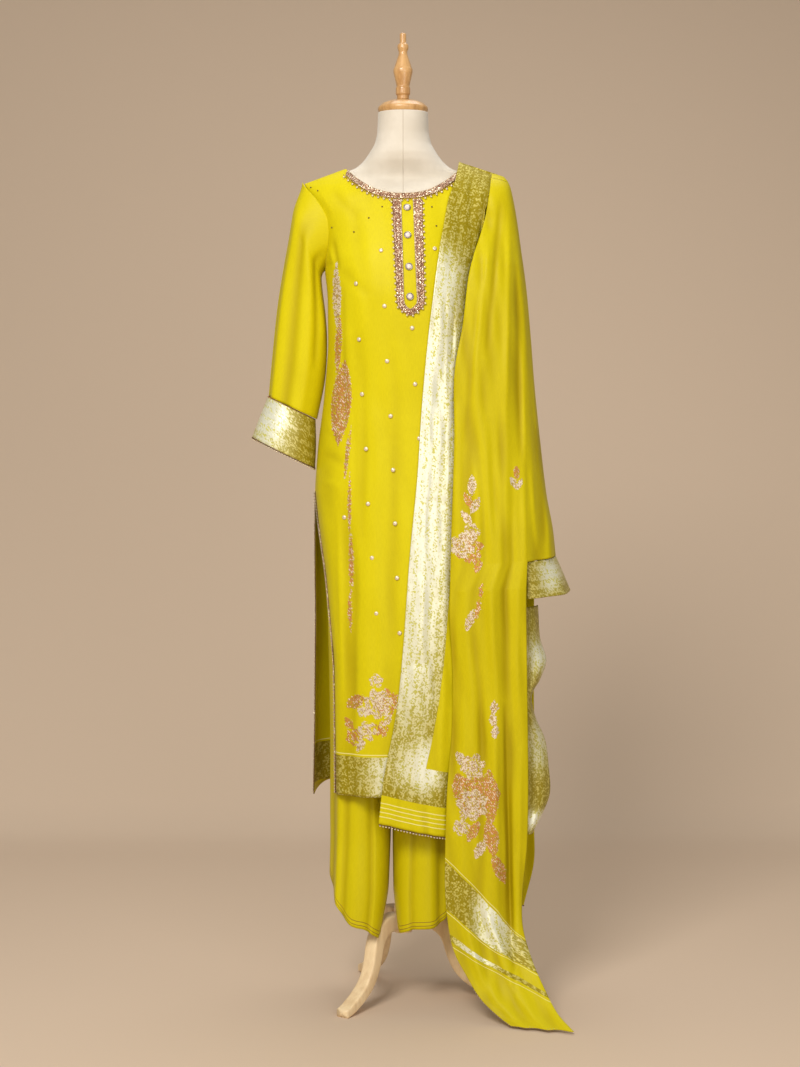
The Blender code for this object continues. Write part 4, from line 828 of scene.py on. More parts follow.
def panel_sizes(side, z):
    """Half width, middle depth and edge depth of the front (0) or back (1) panel at a height."""
    lower = z < SLIT_Z
    half = np.where(lower, read_table(SKIRT, 1 + 3 * side, z), read_table(BODICE, 1, z))
    middle = np.where(lower, read_table(SKIRT, 2 + 3 * side, z), read_table(BODICE, 2 + side, z))
    reach = np.clip((z - UNDERARM_Z) / (shoulder_z(SHOULDER_HALF_WIDTH) - UNDERARM_Z), 0, 1)
    armhole = ARMHOLE_HALF_DEPTH * np.sqrt(np.clip(1 - (2 * reach - 1) ** 2, 0, 1))
    edge = np.where(lower, read_table(SKIRT, 3 + 3 * side, z), armhole)
    return half, middle, edge


def panel_depth(side, x, z):
    """Depth of a panel: edge + (middle - edge) (1 - |x / half|^n)^(1/n), rounded to the shoulder."""
    half, middle, edge = panel_sizes(side, z)
    across = np.clip(1 - np.abs(x / half) ** SUPER, 0, 1) ** (1 / SUPER)
    near = np.where(z > SLIT_Z, (1 - across) ** 2, 1 - across)
    depth = middle * across + edge * near
    drop = np.clip((shoulder_z(x) - z) / SHOULDER_ROUND, 0, 1)
    depth = depth * np.sqrt(np.clip(1 - (1 - drop) ** 2, 0, 1))
    return depth + folds((FRONT_FOLDS, BACK_FOLDS)[side], x, z) * across


def panel_normal(side, x, z):
    """Outward normal of y = -+depth(x, z): (-depth_x, -+1, -depth_z), made unit length."""
    step = 0.0004
    slope_x = (panel_depth(side, x + step, z) - panel_depth(side, x - step, z)) / (2 * step)
    slope_z = (panel_depth(side, x, z + step) - panel_depth(side, x, z - step)) / (2 * step)
    facing = np.full(np.broadcast(x, z).shape, (-1.0, 1.0)[side])
    normal = np.stack((-np.clip(slope_x, -4, 4), facing, -np.clip(slope_z, -4, 4)), axis=-1)
    return normal / np.linalg.norm(normal, axis=-1, keepdims=True)


def panel_point(side, x, z, lift=0.0):
    """A point of a panel, moved out along its normal by lift."""
    depth = panel_depth(side, x, z) + SHOULDER_SEAM / 2
    place = np.stack((x + 0 * z, (-1, 1)[side] * depth, z + 0 * x), axis=-1)
    return place + panel_normal(side, x, z) * lift


def neckline_z(side, x):
    """Height of the top edge of a panel: the neckline, and past it the shoulder line."""
    low = (FRONT_NECK_Z, BACK_NECK_Z)[side]
    scoop = low + (NECK_SIDE_Z - low) * np.clip(np.abs(x) / NECK_HALF_WIDTH, 0, 1) ** 2.4
    return np.where(np.abs(x) < NECK_HALF_WIDTH, scoop, shoulder_z(x))


def kameez_panel(name, side, columns, rows, table, look, motifs=()):
    """Make the front or back of the kameez: x = spread(angle) half width, y from panel_depth."""
    angle = np.linspace(-math.pi / 2, math.pi / 2, columns + 1)
    spread = np.sign(np.sin(angle)) * np.abs(np.sin(angle)) ** (2 / SUPER)
    top = np.full_like(spread, NECK_SIDE_Z)
    for _ in range(30):
        top = 0.5 * top + 0.5 * neckline_z(side, spread * panel_sizes(side, top)[0])
    low = np.linspace(HEM_Z, UNDERARM_Z, rows)[:-1]
    share = np.sin(np.linspace(0, math.pi / 2, rows // 3))
    z = np.vstack((np.repeat(low[:, None], len(spread), axis=1),
                   UNDERARM_Z + (top[None, :] - UNDERARM_Z) * share[:, None]))[::-1]
    corner = np.abs(spread) ** BACK_CORNER_POWER * np.clip((HEM_Z + 0.069 - z) / 0.069, 0, 1)
    z = z - (0.0, BACK_CORNER_DROP)[side] * corner
    x = spread[None, :] * panel_sizes(side, z)[0]
    calm = np.clip((shoulder_z(x) - z) / 0.05, 0, 1) * np.clip((1 - np.abs(spread[None, :])) / 0.06, 0, 1)
    relief = (creases(table, x, z) + ripple(x, z, 3 + side, 0.05, 0.0007)) * calm
    if side == 0:
        near_placket = np.exp(-((x - 0.0105) / 0.035) ** 4) * np.clip((z - 1.2) / 0.05, 0, 1)
        relief = relief * (1 - near_placket)
    points = panel_point(side, x, z, relief[..., None])
    cut = np.stack((x, z - HEM_Z), axis=-1)
    # painted shade in the folds and creases, and painted highlights on the zari hem band
    fields = {"painted_shade": painted_shade_share(relief + folds((FRONT_FOLDS, BACK_FOLDS)[side], x, z) * 0.5)}
    fields["painted_gleam"] = spots(FRONT_PAINTED_HIGHLIGHT, x, z)
    fields.update(motif_fields(motifs, x, z))
    return surface(name, points, look, fields=fields, replaces=(name,), cut=cut), points


def tube_points(table, rows, columns, sign, fold_table=()):
    """Points of a sleeve: middle + half cos(a) across, depth sin(a) in Y, with long folds."""
    ring = smooth_rows(table, rows)
    angle = np.linspace(0, 2 * math.pi, columns, endpoint=False)[None, :]
    outer_x, outer_z, inner_x, inner_z, depth = (ring[:, k][:, None] for k in range(5))
    along = np.linspace(0, 1, rows)[:, None]
    swell = np.zeros((rows, columns))
    for turn, spread, out, start, end in fold_table:
        gap = (np.degrees(angle) - turn + 180) % 360 - 180
        ramp = np.clip((along - start) / 0.2, 0, 1) * np.clip((end + 0.08 - along) / 0.08, 0, 1)
        swell = swell + out * np.exp(-((gap / spread) ** 2)) * ramp
    half_x, half_z = (outer_x - inner_x) / 2, (outer_z - inner_z) / 2
    grow = 1 + swell / 0.05
    x = sign * ((outer_x + inner_x) / 2 + half_x * np.cos(angle) * grow)
    z = (outer_z + inner_z) / 2 + half_z * np.cos(angle) * grow
    y = depth * np.sin(angle) * grow
    return np.stack((x, y, z), axis=-1), swell


def sleeve(name, table, sign, look):
    """Make a sleeve. Its first ring follows the armhole, just outside the panels."""
    rows = 96
    points, swell = tube_points(table, rows, 96, sign, SLEEVE_FOLDS)
    outer = np.clip(np.cos(np.linspace(0, 2 * math.pi, 96, endpoint=False)), 0, 1)
    armhole = read_table(BODICE, 1, points[0, :, 2]) - SLEEVE_TUCK * (1 - outer) + SLEEVE_COVER * outer
    share = np.clip(1 - np.linspace(0, 1, rows) / 0.22, 0, 1)[:, None] ** 2
    points[..., 0] += (sign * armhole - points[..., 0]) * share
    # painted shade in the troughs of the sleeve's folds
    return surface(name, points, look, wrap=True, fields={"painted_shade": painted_shade_share(swell)}, replaces=(name,))


def leg_points(side, rows_hip, rows_leg, columns):
    """Points of a trouser leg, rows from the waist down, columns from the outer side forward."""
    sign = (-1, 1)[side]
    angle = np.linspace(0, 2 * math.pi, columns, endpoint=False)
    hem = np.interp(np.degrees(angle), *np.array((RIGHT_HEM, LEFT_HEM)[side]).T)
    hip = np.linspace(WAIST_BOTTOM - 0.0003, CROTCH_Z, rows_hip)
    share = np.linspace(0, 1, rows_leg + 1)[1:]
    z = np.vstack((np.repeat(hip[:, None], columns, axis=1),
                   CROTCH_Z + (hem[None, :] - CROTCH_Z) * share[:, None]))
    sine, cosine = np.sin(angle), np.cos(angle)
    form_half = read_table(FORM_RINGS, 1, z) + HIP_ROOM
    form_depth = np.where(sine > 0, read_table(FORM_RINGS, 2, z), read_table(FORM_RINGS, 3, z)) + HIP_ROOM
    outer = np.where(z > 0.86, form_half, read_table(LEGS, 1 + side, z))
    seam = read_table(LEGS, 3 + side, z)
    depth = np.where(z > 0.86, form_depth, read_table(LEGS, 5, z))
    low = np.clip((CROTCH_Z - z) / 0.25, 0, 1)
    middle = seam + (sign * outer - seam) * 0.5 * low * low * (3 - 2 * low)
    along = np.linspace(0, 1, len(z))[:, None]
    swell = np.zeros_like(z)
    for turn, spread, out, start, end in LEG_FOLDS:
        gap = (np.degrees(angle)[None, :] - turn + 180) % 360 - 180
        ramp = np.clip((along - start) / 0.3, 0, 1) * np.clip((end + 0.1 - along) / 0.1, 0, 1)
        swell = swell + out * np.exp(-((gap / spread) ** 2)) * ramp
    inner_side = np.where(cosine < -0.3, 0.0, 1.0)
    grow = 1 + swell * inner_side / 0.07
    reach = np.where(cosine >= 0, sign * outer - middle, middle - seam)
    power = 2 / np.interp(z, HEM_SUPER_Z, (HEM_SUPER, SUPER))
    x = middle + reach * np.sign(cosine) * np.abs(cosine) ** power * grow
    y = -depth * np.sign(sine) * np.abs(sine) ** power * grow
    return np.stack((x, y, z), axis=-1), swell * inner_side


def trouser_leg(name, side, look):
    """Make a trouser leg: half the hip above the crotch and a whole tube below it."""
    rows_hip, rows_leg, columns = 24, 110, 112
    points, swell = leg_points(side, rows_hip, rows_leg, columns)
    keep = np.ones((len(points) - 1, columns), dtype=bool)
    keep[:rows_hip - 1, columns // 4:3 * columns // 4] = False
    # painted shade in the troughs of the leg's folds
    return surface(name, points, look, wrap=True, keep=keep, fields={"painted_shade": painted_shade_share(swell)},
                   replaces=(name,))


def on_panel(side, x, z, lift):
    """Points lifted off a panel, or off the plane that carries it on below its hem."""
    held = np.clip(z, HEM_Z, shoulder_z(x) - 0.0002)
    points = panel_point(side, x, held, lift)
    points[..., 2] -= np.clip(HEM_Z - z, 0, 1)
    return points


def across_folds(table, share):
    """Sum of folds across a stretch: depth exp(-((share - place) / spread)^2)."""
    return sum(depth * np.exp(-(((share - place) / spread) ** 2)) for place, spread, depth in table)


def bow(left, right, share):
    """A row from left to right: x = left + reach sin(a)^p, y = right + drop cos(a)^p."""
    angle = share * math.pi / 2
    sine, cosine = np.sin(angle) ** BOW, np.cos(angle) ** BOW
    x = left[:, 0:1] + (right[:, 0:1] - left[:, 0:1]) * sine
    y = right[:, 1:2] + (left[:, 1:2] - right[:, 1:2]) * cosine
    z = left[:, 2:3] + (right[:, 2:3] - left[:, 2:3]) * share
    return np.stack((x, y, z + 0 * x), axis=-1)


FALL_COLUMNS = 76
CAPE_COLUMNS = 44
CAPE_ROWS = 190


def ridge_z(x):
    """Height of the dupatta's fold over the shoulder line, from the neck to the sleeve's head."""
    first = BACK_CAPE[0]
    return np.interp(x, (first[0], first[2]), (first[1] + OUTER_LIFT, first[3]))


def fall_points(side, cape, fall, corner_x, fall_rows):
    """Points of a stretch that covers the arm above a corner and hangs inside it below."""
    facing = (-1, 1)[side]
    top = smooth_rows(cape, CAPE_ROWS)
    left = on_panel(side, top[:, 0], top[:, 1], (OUTER_LIFT + top[:, 4])[:, None])
    left[0, 1] = facing * CAPE_SEAM
    right = np.stack((top[:, 2], np.full(CAPE_ROWS, facing * CAPE_SEAM), top[:, 3]), axis=-1)
    reach = np.clip((corner_x - top[:, 0]) / (top[:, 2] - top[:, 0]), 0.05, 0.9)
    turn = (np.arcsin(reach ** (1 / BOW)) * 2 / math.pi)[:, None]
    inner = turn * np.linspace(0, 1, FALL_COLUMNS)[None, :]
    outer = turn + (1 - turn) * np.linspace(0, 1, CAPE_COLUMNS + 1)[None, 1:]
    upper = bow(left, right, np.hstack((inner, outer)))
    upper[..., 2] += (ridge_z(upper[0, :, 0]) - upper[0, :, 2]) * np.exp(-np.arange(CAPE_ROWS)[:, None] / 5)
    low = smooth_rows(fall, fall_rows)
    table = np.array(fall)
    rail = on_panel(side, table[:, 0], table[:, 1], OUTER_LIFT)
    rail[:, 1] += facing * table[:, 5]
    left = smooth_rows(rail, fall_rows)
    share = np.linspace(0, 1, FALL_COLUMNS)[None, :]
    lower = left[:, None, :] + (low[:, None, 2:5] - left[:, None, :]) * share[..., None]
    bulge = FALL_BULGE * np.sin(math.pi * share) * np.clip((low[:, 1:2] - 0.02) / 0.2, 0, 1)
    lower[..., 1] += facing * bulge
    filler = np.repeat(lower[:, -1:], CAPE_COLUMNS, axis=1)
    return upper, np.vstack((upper, np.hstack((lower, filler))))


def fall_surface(name, points, fold_table, facing, start, crease_table, seed, look, motifs=()):
    """Make a fall with its long folds and creases, without the cells past its corner."""
    share = np.linspace(0, 1, FALL_COLUMNS + CAPE_COLUMNS)[None, :]
    z = points[..., 2]
    ramp = np.clip((start - z) / 0.45, 0, 1)
    x = points[..., 0]
    edge = np.clip((1 - share) / 0.05, 0, 1)
    relief = creases(crease_table, x, z) + ripple(x, z, seed, 0.035, 0.0012)
    relief = relief * edge * np.clip((shoulder_z(x) + 0.01 - z) / 0.06, 0, 1) * np.clip(z / 0.06, 0.15, 1)
    fields = motif_fields(motifs, x, z)
    # painted highlights on the zari, and painted shade in the folds and creases
    fields["painted_gleam"] = spots(FALL_PAINTED_HIGHLIGHT, x, z)
    long_folds = across_folds(fold_table, share) * ramp
    fields["painted_shade"] = painted_shade_share(relief * 1.4 + (long_folds - 0.0035) * 0.6 * ramp)
    points[..., 1] += facing * (long_folds + relief)
    keep = np.ones((points.shape[0] - 1, points.shape[1] - 1), dtype=bool)
    keep[CAPE_ROWS - 1:, FALL_COLUMNS - 1:] = False
    return surface(name, points, look, keep=keep, fields=fields, replaces=(name,))


def inner_pleat(look):
    """Make the pleat with the inner border, lying on the kameez front."""
    rows = smooth_rows(FRONT_INNER, 270)
    share = np.linspace(0, 1, 60)[None, :]
    x = rows[:, 0:1] + (rows[:, 2:3] - rows[:, 0:1]) * share
    z = rows[:, 1:2] + (rows[:, 3:4] - rows[:, 1:2]) * share
    points = on_panel(0, x, z, INNER_LIFT)
    ramp = np.clip((1.35 - z) / 0.5, 0, 1)
    points[..., 1] -= across_folds(INNER_FOLDS, share) * ramp
    head = np.clip((x - 0.12) / 0.02, 0, 1) * np.clip((1.5 - z) / 0.02, 0, 1)
    points[..., 1] -= SLEEVE_HEAD_ROOM * head * np.clip((z - 1.33) / 0.04, 0, 1)
    points[0, :, 1] = -SHOULDER_SEAM / 2
    points[..., 2] += (ridge_z(x[0]) - points[0, :, 2]) * np.exp((z - z[0]) / RIDGE_FADE)
    calm = np.clip((shoulder_z(x) - z) / 0.05, 0, 1)
    relief = (creases(INNER_CREASES, x, z) + ripple(x, z, 11, 0.03, 0.0006)) * calm
    points[..., 1] -= relief
    # painted highlights on the zari border, and painted shade in the creases
    fields = {"painted_gleam": spots(PLEAT_PAINTED_HIGHLIGHT, x, z), "painted_shade": painted_shade_share(relief * 2)}
    return surface("dupatta_front_inner", points, look, fields=fields, replaces=("dupatta_front_inner",)), points


def side_border(front, back, look):
    """Make the woven border that hangs over the arm, under the lower edges of both capes."""
    ahead = front[-1, FALL_COLUMNS - 1:]
    behind = back[-1, FALL_COLUMNS - 1:][::-1]
    top = smooth_rows(np.vstack((ahead[::4], behind[1::4])), 120)
    along = np.gradient(top, axis=0)
    outward = np.stack((along[:, 1], -along[:, 0], 0 * along[:, 0]), axis=-1)
    outward = outward / np.linalg.norm(outward, axis=-1, keepdims=True)
    place = np.linspace(0, 1, len(top))
    swell = (BORDER_FLARE * np.sin(math.pi * place) ** 1.5 + 0.002 * np.sin(place * 26))[:, None]
    share = np.linspace(0, 1, 34)[None, :, None]
    points = top[:, None, :] + outward[:, None, :] * swell[:, None, :] * share
    points[..., 2] -= 0.0012 + BORDER * share[..., 0]
    points = points.transpose(1, 0, 2)[:, ::-1]
    # painted highlight on the front of the zari border
    painted_highlights = {"painted_gleam": spots(BORDER_PAINTED_HIGHLIGHT, points[..., 0], points[..., 2]) * (points[..., 1] < 0)}
    return surface("dupatta_side_border", points, look, fields=painted_highlights, replaces=("dupatta_side_border",),
                   cut=arc_lengths(points, False)[..., ::-1])


def cascade(look):
    """Make the zigzag edge behind the front fall: a strip from the fall's edge to its own."""
    edge = smooth_rows(CASCADE_EDGE, 150)
    fall = np.array(sorted([(row[4], row[2], row[3]) for row in FRONT_FALL]))
    left_x = np.interp(edge[:, 0], fall[:, 0], fall[:, 1]) - 0.004
    left_y = np.interp(edge[:, 0], fall[:, 0], fall[:, 2]) + 0.0034
    share = np.linspace(0, 1, 40)[None, :]
    x = left_x[:, None] + (edge[:, 1] - left_x)[:, None] * share
    y = left_y[:, None] + (edge[:, 2] - left_y)[:, None] * share + 0.005 * np.sin(2 * math.pi * share)
    y = y + 0.0025 * np.sin(edge[:, 0:1] * 70) * share
    points = np.stack((x, y, edge[:, 0:1] + 0 * x), axis=-1)
    length = arc_lengths(points, False)
    length[..., 0] = length[..., 0].max() - length[..., 0] - (length[..., 0].max() - length[:, -1:, 0])
    # painted highlights on the zari edge
    return surface("dupatta_cascade", points, look, fields={"painted_gleam": spots(CASCADE_PAINTED_HIGHLIGHT, x, edge[:, 0:1])},
                   replaces=("dupatta_cascade",), cut=length)


def turned(name, profile, look, slot, replaces, rows=80, columns=64):
    """Make a turned piece: x = r cos(a), y = r sin(a) for a profile of radius and height."""
    outline = np.array(profile)
    outline = np.vstack(((0.0002, outline[0, 1]), outline, (0.0002, outline[-1, 1])))
    steps = np.linalg.norm(np.diff(outline, axis=0), axis=1)
    place = np.concatenate(((0,), np.cumsum(steps)))
    fine = np.linspace(0, place[-1], rows)
    radius, height = (np.interp(fine, place, outline[:, k]) for k in range(2))
    kernel = np.array((1, 2, 1)) / 4
    radius[1:-1] = np.convolve(radius, kernel, "valid")
    angle = np.linspace(0, 2 * math.pi, columns, endpoint=False)
    points = np.stack((radius[:, None] * np.cos(angle), radius[:, None] * np.sin(angle),
                       height[:, None] + 0 * angle), axis=-1)
    return surface(name, points[::-1, ::-1], look, wall=0, wrap=True, replaces=replaces)


def form_body(look):
    """Make the form: rings of superellipses from the hip to the neck, smooth between the rings."""
    table = np.array(FORM_RINGS)
    heights = np.concatenate((np.linspace(0.742, 1.46, 60), np.linspace(1.465, 1.639, 90)))
    rings = np.stack([np.interp(heights, table[:, 0], table[:, k]) for k in range(4)], axis=-1)
    for _ in range(3):
        rings[1:-1, 1:] = 0.5 * rings[1:-1, 1:] + 0.25 * (rings[:-2, 1:] + rings[2:, 1:])
    caps = np.repeat(rings[:1], 2, axis=0), np.repeat(rings[-1:], 2, axis=0)
    caps[0][0, 1:] = 0.0005
    caps[1][1, 1:] = 0.0005
    rings = np.vstack((caps[0][:1], rings, caps[1][1:]))
    angle = np.linspace(0, 2 * math.pi, 100, endpoint=False)
    cosine, sine = np.cos(angle), np.sin(angle)
    power = 2 / 2.2
    x = rings[:, 1:2] * np.sign(cosine) * np.abs(cosine) ** power
    depth = np.where(sine > 0, rings[:, 3:4], rings[:, 2:3])
    y = depth * np.sign(sine) * np.abs(sine) ** power
    points = np.stack((x, y, rings[:, 0:1] + 0 * x), axis=-1)[::-1, ::-1]
    return surface("dress_form_body", points, look, wall=0, wrap=True, replaces=("dress_form_body",),
                   fields={"seam": np.abs(points[..., 0])})


def tripod_leg(number, bearing, look):
    """Make a curved leg: a rounded rectangle carried along the leg's middle line."""
    line = smooth_rows(LEG_LINE, 70)
    along = np.gradient(line[:, :2], axis=0)
    along = along / np.linalg.norm(along, axis=1, keepdims=True)
    angle = np.linspace(0, 2 * math.pi, 32, endpoint=False)
    wide = np.sign(np.cos(angle)) * np.abs(np.cos(angle)) ** 0.35 * LEG_HALF_WIDTH
    thick = np.sign(np.sin(angle)) * np.abs(np.sin(angle)) ** 0.35
    ends = np.ones(70)
    ends[0] = ends[-1] = 0.02
    reach = line[:, 0:1] - along[:, 1:2] * thick * line[:, 2:3] * ends[:, None]
    height = line[:, 1:2] + along[:, 0:1] * thick * line[:, 2:3] * ends[:, None]
    turn = math.radians(bearing)
    side = wide * ends[:, None] + 0 * reach
    x = reach * math.cos(turn) - side * math.sin(turn)
    y = reach * math.sin(turn) + side * math.cos(turn)
    points = np.stack((x, y, np.maximum(height, 0.0)), axis=-1)
    return surface(f"tripod_leg_{number}", points, look, wall=0, wrap=True,
                   replaces=(f"tripod_leg_{number}",))


def small_stones(name, centres, normals, radius, look, squash=0.6, sides=6, rings=3):
    """Make many small domed beads as one mesh: each a squashed ball on its normal."""
    centres, normals = np.asarray(centres), np.asarray(normals)
    polar = np.linspace(0, math.pi, rings + 1)
    angle = np.linspace(0, 2 * math.pi, sides, endpoint=False)
    ball = np.stack((np.sin(polar)[:, None] * np.cos(angle), np.sin(polar)[:, None] * np.sin(angle),
                     squash * np.cos(polar)[:, None] + 0 * angle), axis=-1)
    ball[0, :, :2] = 0.03 * ball[1, :, :2]
    ball[-1, :, :2] = 0.03 * ball[-2, :, :2]
    helper = np.where(np.abs(normals[:, 2:3]) < 0.9, (0.0, 0.0, 1.0), (1.0, 0.0, 0.0))
    first = np.cross(helper, normals)
    first = first / np.linalg.norm(first, axis=1, keepdims=True)
    second = np.cross(normals, first)
    basis = np.stack((first, second, normals), axis=1)
    size = np.broadcast_to(radius, len(centres))
    points = np.einsum("rsk,nkj->nrsj", ball, basis) * size[:, None, None, None]
    points = points + centres[:, None, None, :]
    count = (rings + 1) * sides
    ring, side = np.mgrid[0:rings, 0:sides]
    after = (side + 1) % sides
    quad = np.stack((ring * sides + side, (ring + 1) * sides + side,
                     (ring + 1) * sides + after, ring * sides + after), axis=-1).reshape(-1, 4)
    quads = (quad[None] + (np.arange(len(centres)) * count)[:, None, None]).reshape(-1, 4)
    caps = [tuple(range(k * count, k * count + sides)) for k in range(len(centres))]
    feet = [tuple(range((k + 1) * count - 1, (k + 1) * count - 1 - sides, -1)) for k in range(len(centres))]
    mesh = bpy.data.meshes.new(name)
    mesh.from_pydata((points.reshape(-1, 3) + AXIS).tolist(), [], quads.tolist() + caps + feet)
    mesh.materials.append(look)
    mesh.shade_smooth()
    piece = bpy.data.objects.new(name, mesh)
    bpy.context.scene.collection.objects.link(piece)
    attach(piece, "root")
    return piece


def spaced(points, pitch):
    """Points every pitch along a line of points."""
    steps = np.concatenate(((0,), np.cumsum(np.linalg.norm(np.diff(points, axis=0), axis=1))))
    place = np.arange(pitch / 2, steps[-1], pitch)
    return np.stack([np.interp(place, steps, points[:, k]) for k in range(3)], axis=-1)


def bead_rows(name, side, x, z, rows, look_pair):
    """Lay rows of beads on a panel along a line given by x and z.

    rows columns: offset across the line, pitch, radius, which look.
    """
    run = np.stack((np.gradient(x), np.gradient(z)), axis=-1)
    run = run / np.linalg.norm(run, axis=1, keepdims=True)
    for number, (offset, pitch, radius, which) in enumerate(rows, start=1):
        line_x = x - run[:, 1] * offset
        line_z = np.minimum(z + run[:, 0] * offset, shoulder_z(line_x) - 0.0004)
        flat = spaced(np.stack((line_x, 0 * line_x, line_z), axis=-1), pitch)
        centres = panel_point(side, flat[:, 0], flat[:, 2], 0.0032)
        normals = panel_normal(side, flat[:, 0], flat[:, 2])
        small_stones(f"{name}_{number}", centres, normals, radius, look_pair[which])


def lace_beads(name, line, outward, look, pitch=0.0036, radius=0.0015):
    """Lay one row of beads on a free edge, given by a line of points."""
    centres = spaced(line, pitch)
    normals = np.tile(np.asarray(outward, dtype=float), (len(centres), 1))
    return small_stones(name, centres, normals, radius, look, squash=0.9)


def lace(name, line, outward):
    """Lay a beaded lace on a free edge: brown beads close together, gold ones hanging below them."""
    hang = np.asarray(outward, dtype=float)
    lace_beads(f"{name}_band", line, outward, DARK, 0.003, 0.0016)
    lace_beads(f"{name}_drops", line + hang * 0.002, outward, PEARL, 0.0056, 0.0018)


def button_stone(number, x, z, stone, rim):
    """Make a cut stone in a metal rim, seated on the panel."""
    base = panel_point(0, np.array([x]), np.array([z]))[0]
    normal = panel_normal(0, np.array([x]), np.array([z]))[0]
    first = np.cross((0.0, 0.0, 1.0), normal)
    first = first / np.linalg.norm(first)
    second = np.cross(normal, first)

    def revolve(name, profile, sides, look):
        outline = np.array(profile)
        angle = np.linspace(0, 2 * math.pi, sides, endpoint=False)
        reach, rise = outline[:, 0:1], outline[:, 1:2]
        points = (base + reach[..., None] * (np.cos(angle)[None, :, None] * first +
                                             np.sin(angle)[None, :, None] * second) +
                  rise[..., None] * normal)
        piece = surface(name, points, look, wall=0, wrap=True)
        return piece

    dome = ((0.0001, 0.0047), (0.0024, 0.0045), (0.0042, 0.0037), (0.005, 0.0026), (0.005, 0.0014),
            (0.0001, 0.0014))
    ring = ((0.0001, 0.0012), (0.0062, 0.0012), (0.0067, 0.0018), (0.0067, 0.0028), (0.006, 0.0033),
            (0.0052, 0.0026), (0.0051, 0.0015), (0.0001, 0.0015))
    cut = revolve(f"button_stone_{number}", dome, 10, stone)
    cut.data.polygons.foreach_set("use_smooth", np.zeros(len(cut.data.polygons), dtype=bool))
    holder = revolve(f"button_rim_{number}", ring[::-1], 40, rim)
    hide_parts(f"button_{number}")


# Finishes
KAMEEZ = silk("kameez silk", motifs=True, bands=((0.0, 0.072),), gold_lines=(0.076,))
KAMEEZ_PLAIN = silk("kameez silk plain")
KAMEEZ_BACK = silk("kameez silk back", bands=((0.0, 0.072),), gold_lines=(0.076,))
# shade mixes painted fold shade over the whole trousers, front fall and back drape.
TROUSER = silk("trouser silk", gold_lines=(0.006, 0.0125), line=BROWN_LINE, rough=0.38, shade=0.1)
INNER = silk("dupatta inner", border=0.07, spread=0.022, bands=((0.052, 0.116),),
             gold_lines=(0.014, 0.022, 0.03, 0.038))
OUTER = silk("dupatta fall", motifs=True, bands=((0.245, 0.33), (0.188, 0.202)), slant=0.94,
             gold_lines=(0.178, 0.335, 0.24), shade=0.2)
BACK = silk("dupatta back", shade=0.2)
CASCADE = zari_cloth("dupatta cascade")
ZARI = zari_cloth("zari brocade")
BEADED = beading("rose gold beading")
PEARL = plain("pale gold pearl", (0.82, 0.68, 0.48), 0.22, 0.35, 200.0, 0.1)
ROSE = plain("rose copper bead", (0.5, 0.22, 0.11), 0.28, 0.55, 200.0, 0.25)
DARK = plain("antique bead", (0.16, 0.08, 0.03), 0.35, 0.5, 200.0, 0.2)
STONE = plain("pink white stone", (0.9, 0.76, 0.7), 0.08, 0.0, 400.0, 0.25, Coat_Weight=0.8)
RIM = plain("antique silver rim", (0.42, 0.38, 0.33), 0.3, 0.9, 300.0, 0.3)
JERSEY = form_cover()
HONEY = wood("honey turned wood", (0.64, 0.37, 0.14, 1), (0.4, 0.19, 0.055, 1), 0.34, 9, 0.5)
BIRCH = wood("pale birch", (0.9, 0.7, 0.42, 1), (0.76, 0.54, 0.29, 1), 0.45, 14, 0.15)
STEEL = plain("brushed steel", (0.56, 0.56, 0.57), 0.28, 1.0, 300.0, 0.1)

# Kameez
front, front_points = kameez_panel("kameez_front", 0, 120, 186, FRONT_CREASES, KAMEEZ, FRONT_MOTIFS)
back, back_points = kameez_panel("kameez_back", 1, 90, 132, BACK_CREASES, KAMEEZ_BACK)
for part, table, cuff_table, sign in (("right", RIGHT_SLEEVE, RIGHT_CUFF, -1),
                                      ("left", LEFT_SLEEVE, LEFT_CUFF, 1)):
    arm = sleeve(f"sleeve_{part}", table, sign, KAMEEZ_PLAIN)
    ring, _ = tube_points(cuff_table, 30, 110, sign)
    # painted highlight on the front of the zari cuff
    painted_highlights = {"painted_gleam": spots(CUFF_PAINTED_HIGHLIGHT, ring[..., 0], ring[..., 2]) * (ring[..., 1] < 0)}
    band = surface(f"cuff_{part}", ring, ZARI, wrap=True, fields=painted_highlights, replaces=(f"cuff_{part}",),
                   cut=arc_lengths(ring, True)[..., ::-1])
    closed = np.vstack((ring[-1], ring[-1][:1]))
    lace(f"cuff_lace_{part}", closed - (0, 0, 0.001), (0, 0, -1))
    head = np.vstack((ring[0], ring[0][:1]))
    lace_beads(f"cuff_line_{part}", head * (1, 1.012, 1) + (sign * 0.0006, 0, 0), (sign, 0, 0),
               ROSE, 0.0026, 0.001)

# Trousers
for part, side in (("right", 0), ("left", 1)):
    leg = trouser_leg(f"trouser_leg_{part}", side, TROUSER)

# Dupatta
front_cape, front_fall = fall_points(0, FRONT_CAPE, FRONT_FALL, FALL_CORNER_X, 200)
back_cape, back_fall = fall_points(1, BACK_CAPE, BACK_FALL, BACK_CORNER_X, 110)
band = side_border(front_cape, back_cape, ZARI)
outer = fall_surface("dupatta_front_outer", front_fall, OUTER_FOLDS, -1, 1.4, OUTER_CREASES, 21, OUTER,
                     DRAPE_MOTIFS)
behind = fall_surface("dupatta_back", back_fall, BACK_FALL_FOLDS, 1, 1.3, BACK_DRAPE_CREASES, 31, BACK)
pleat, pleat_points = inner_pleat(INNER)
edge_fall = cascade(CASCADE)

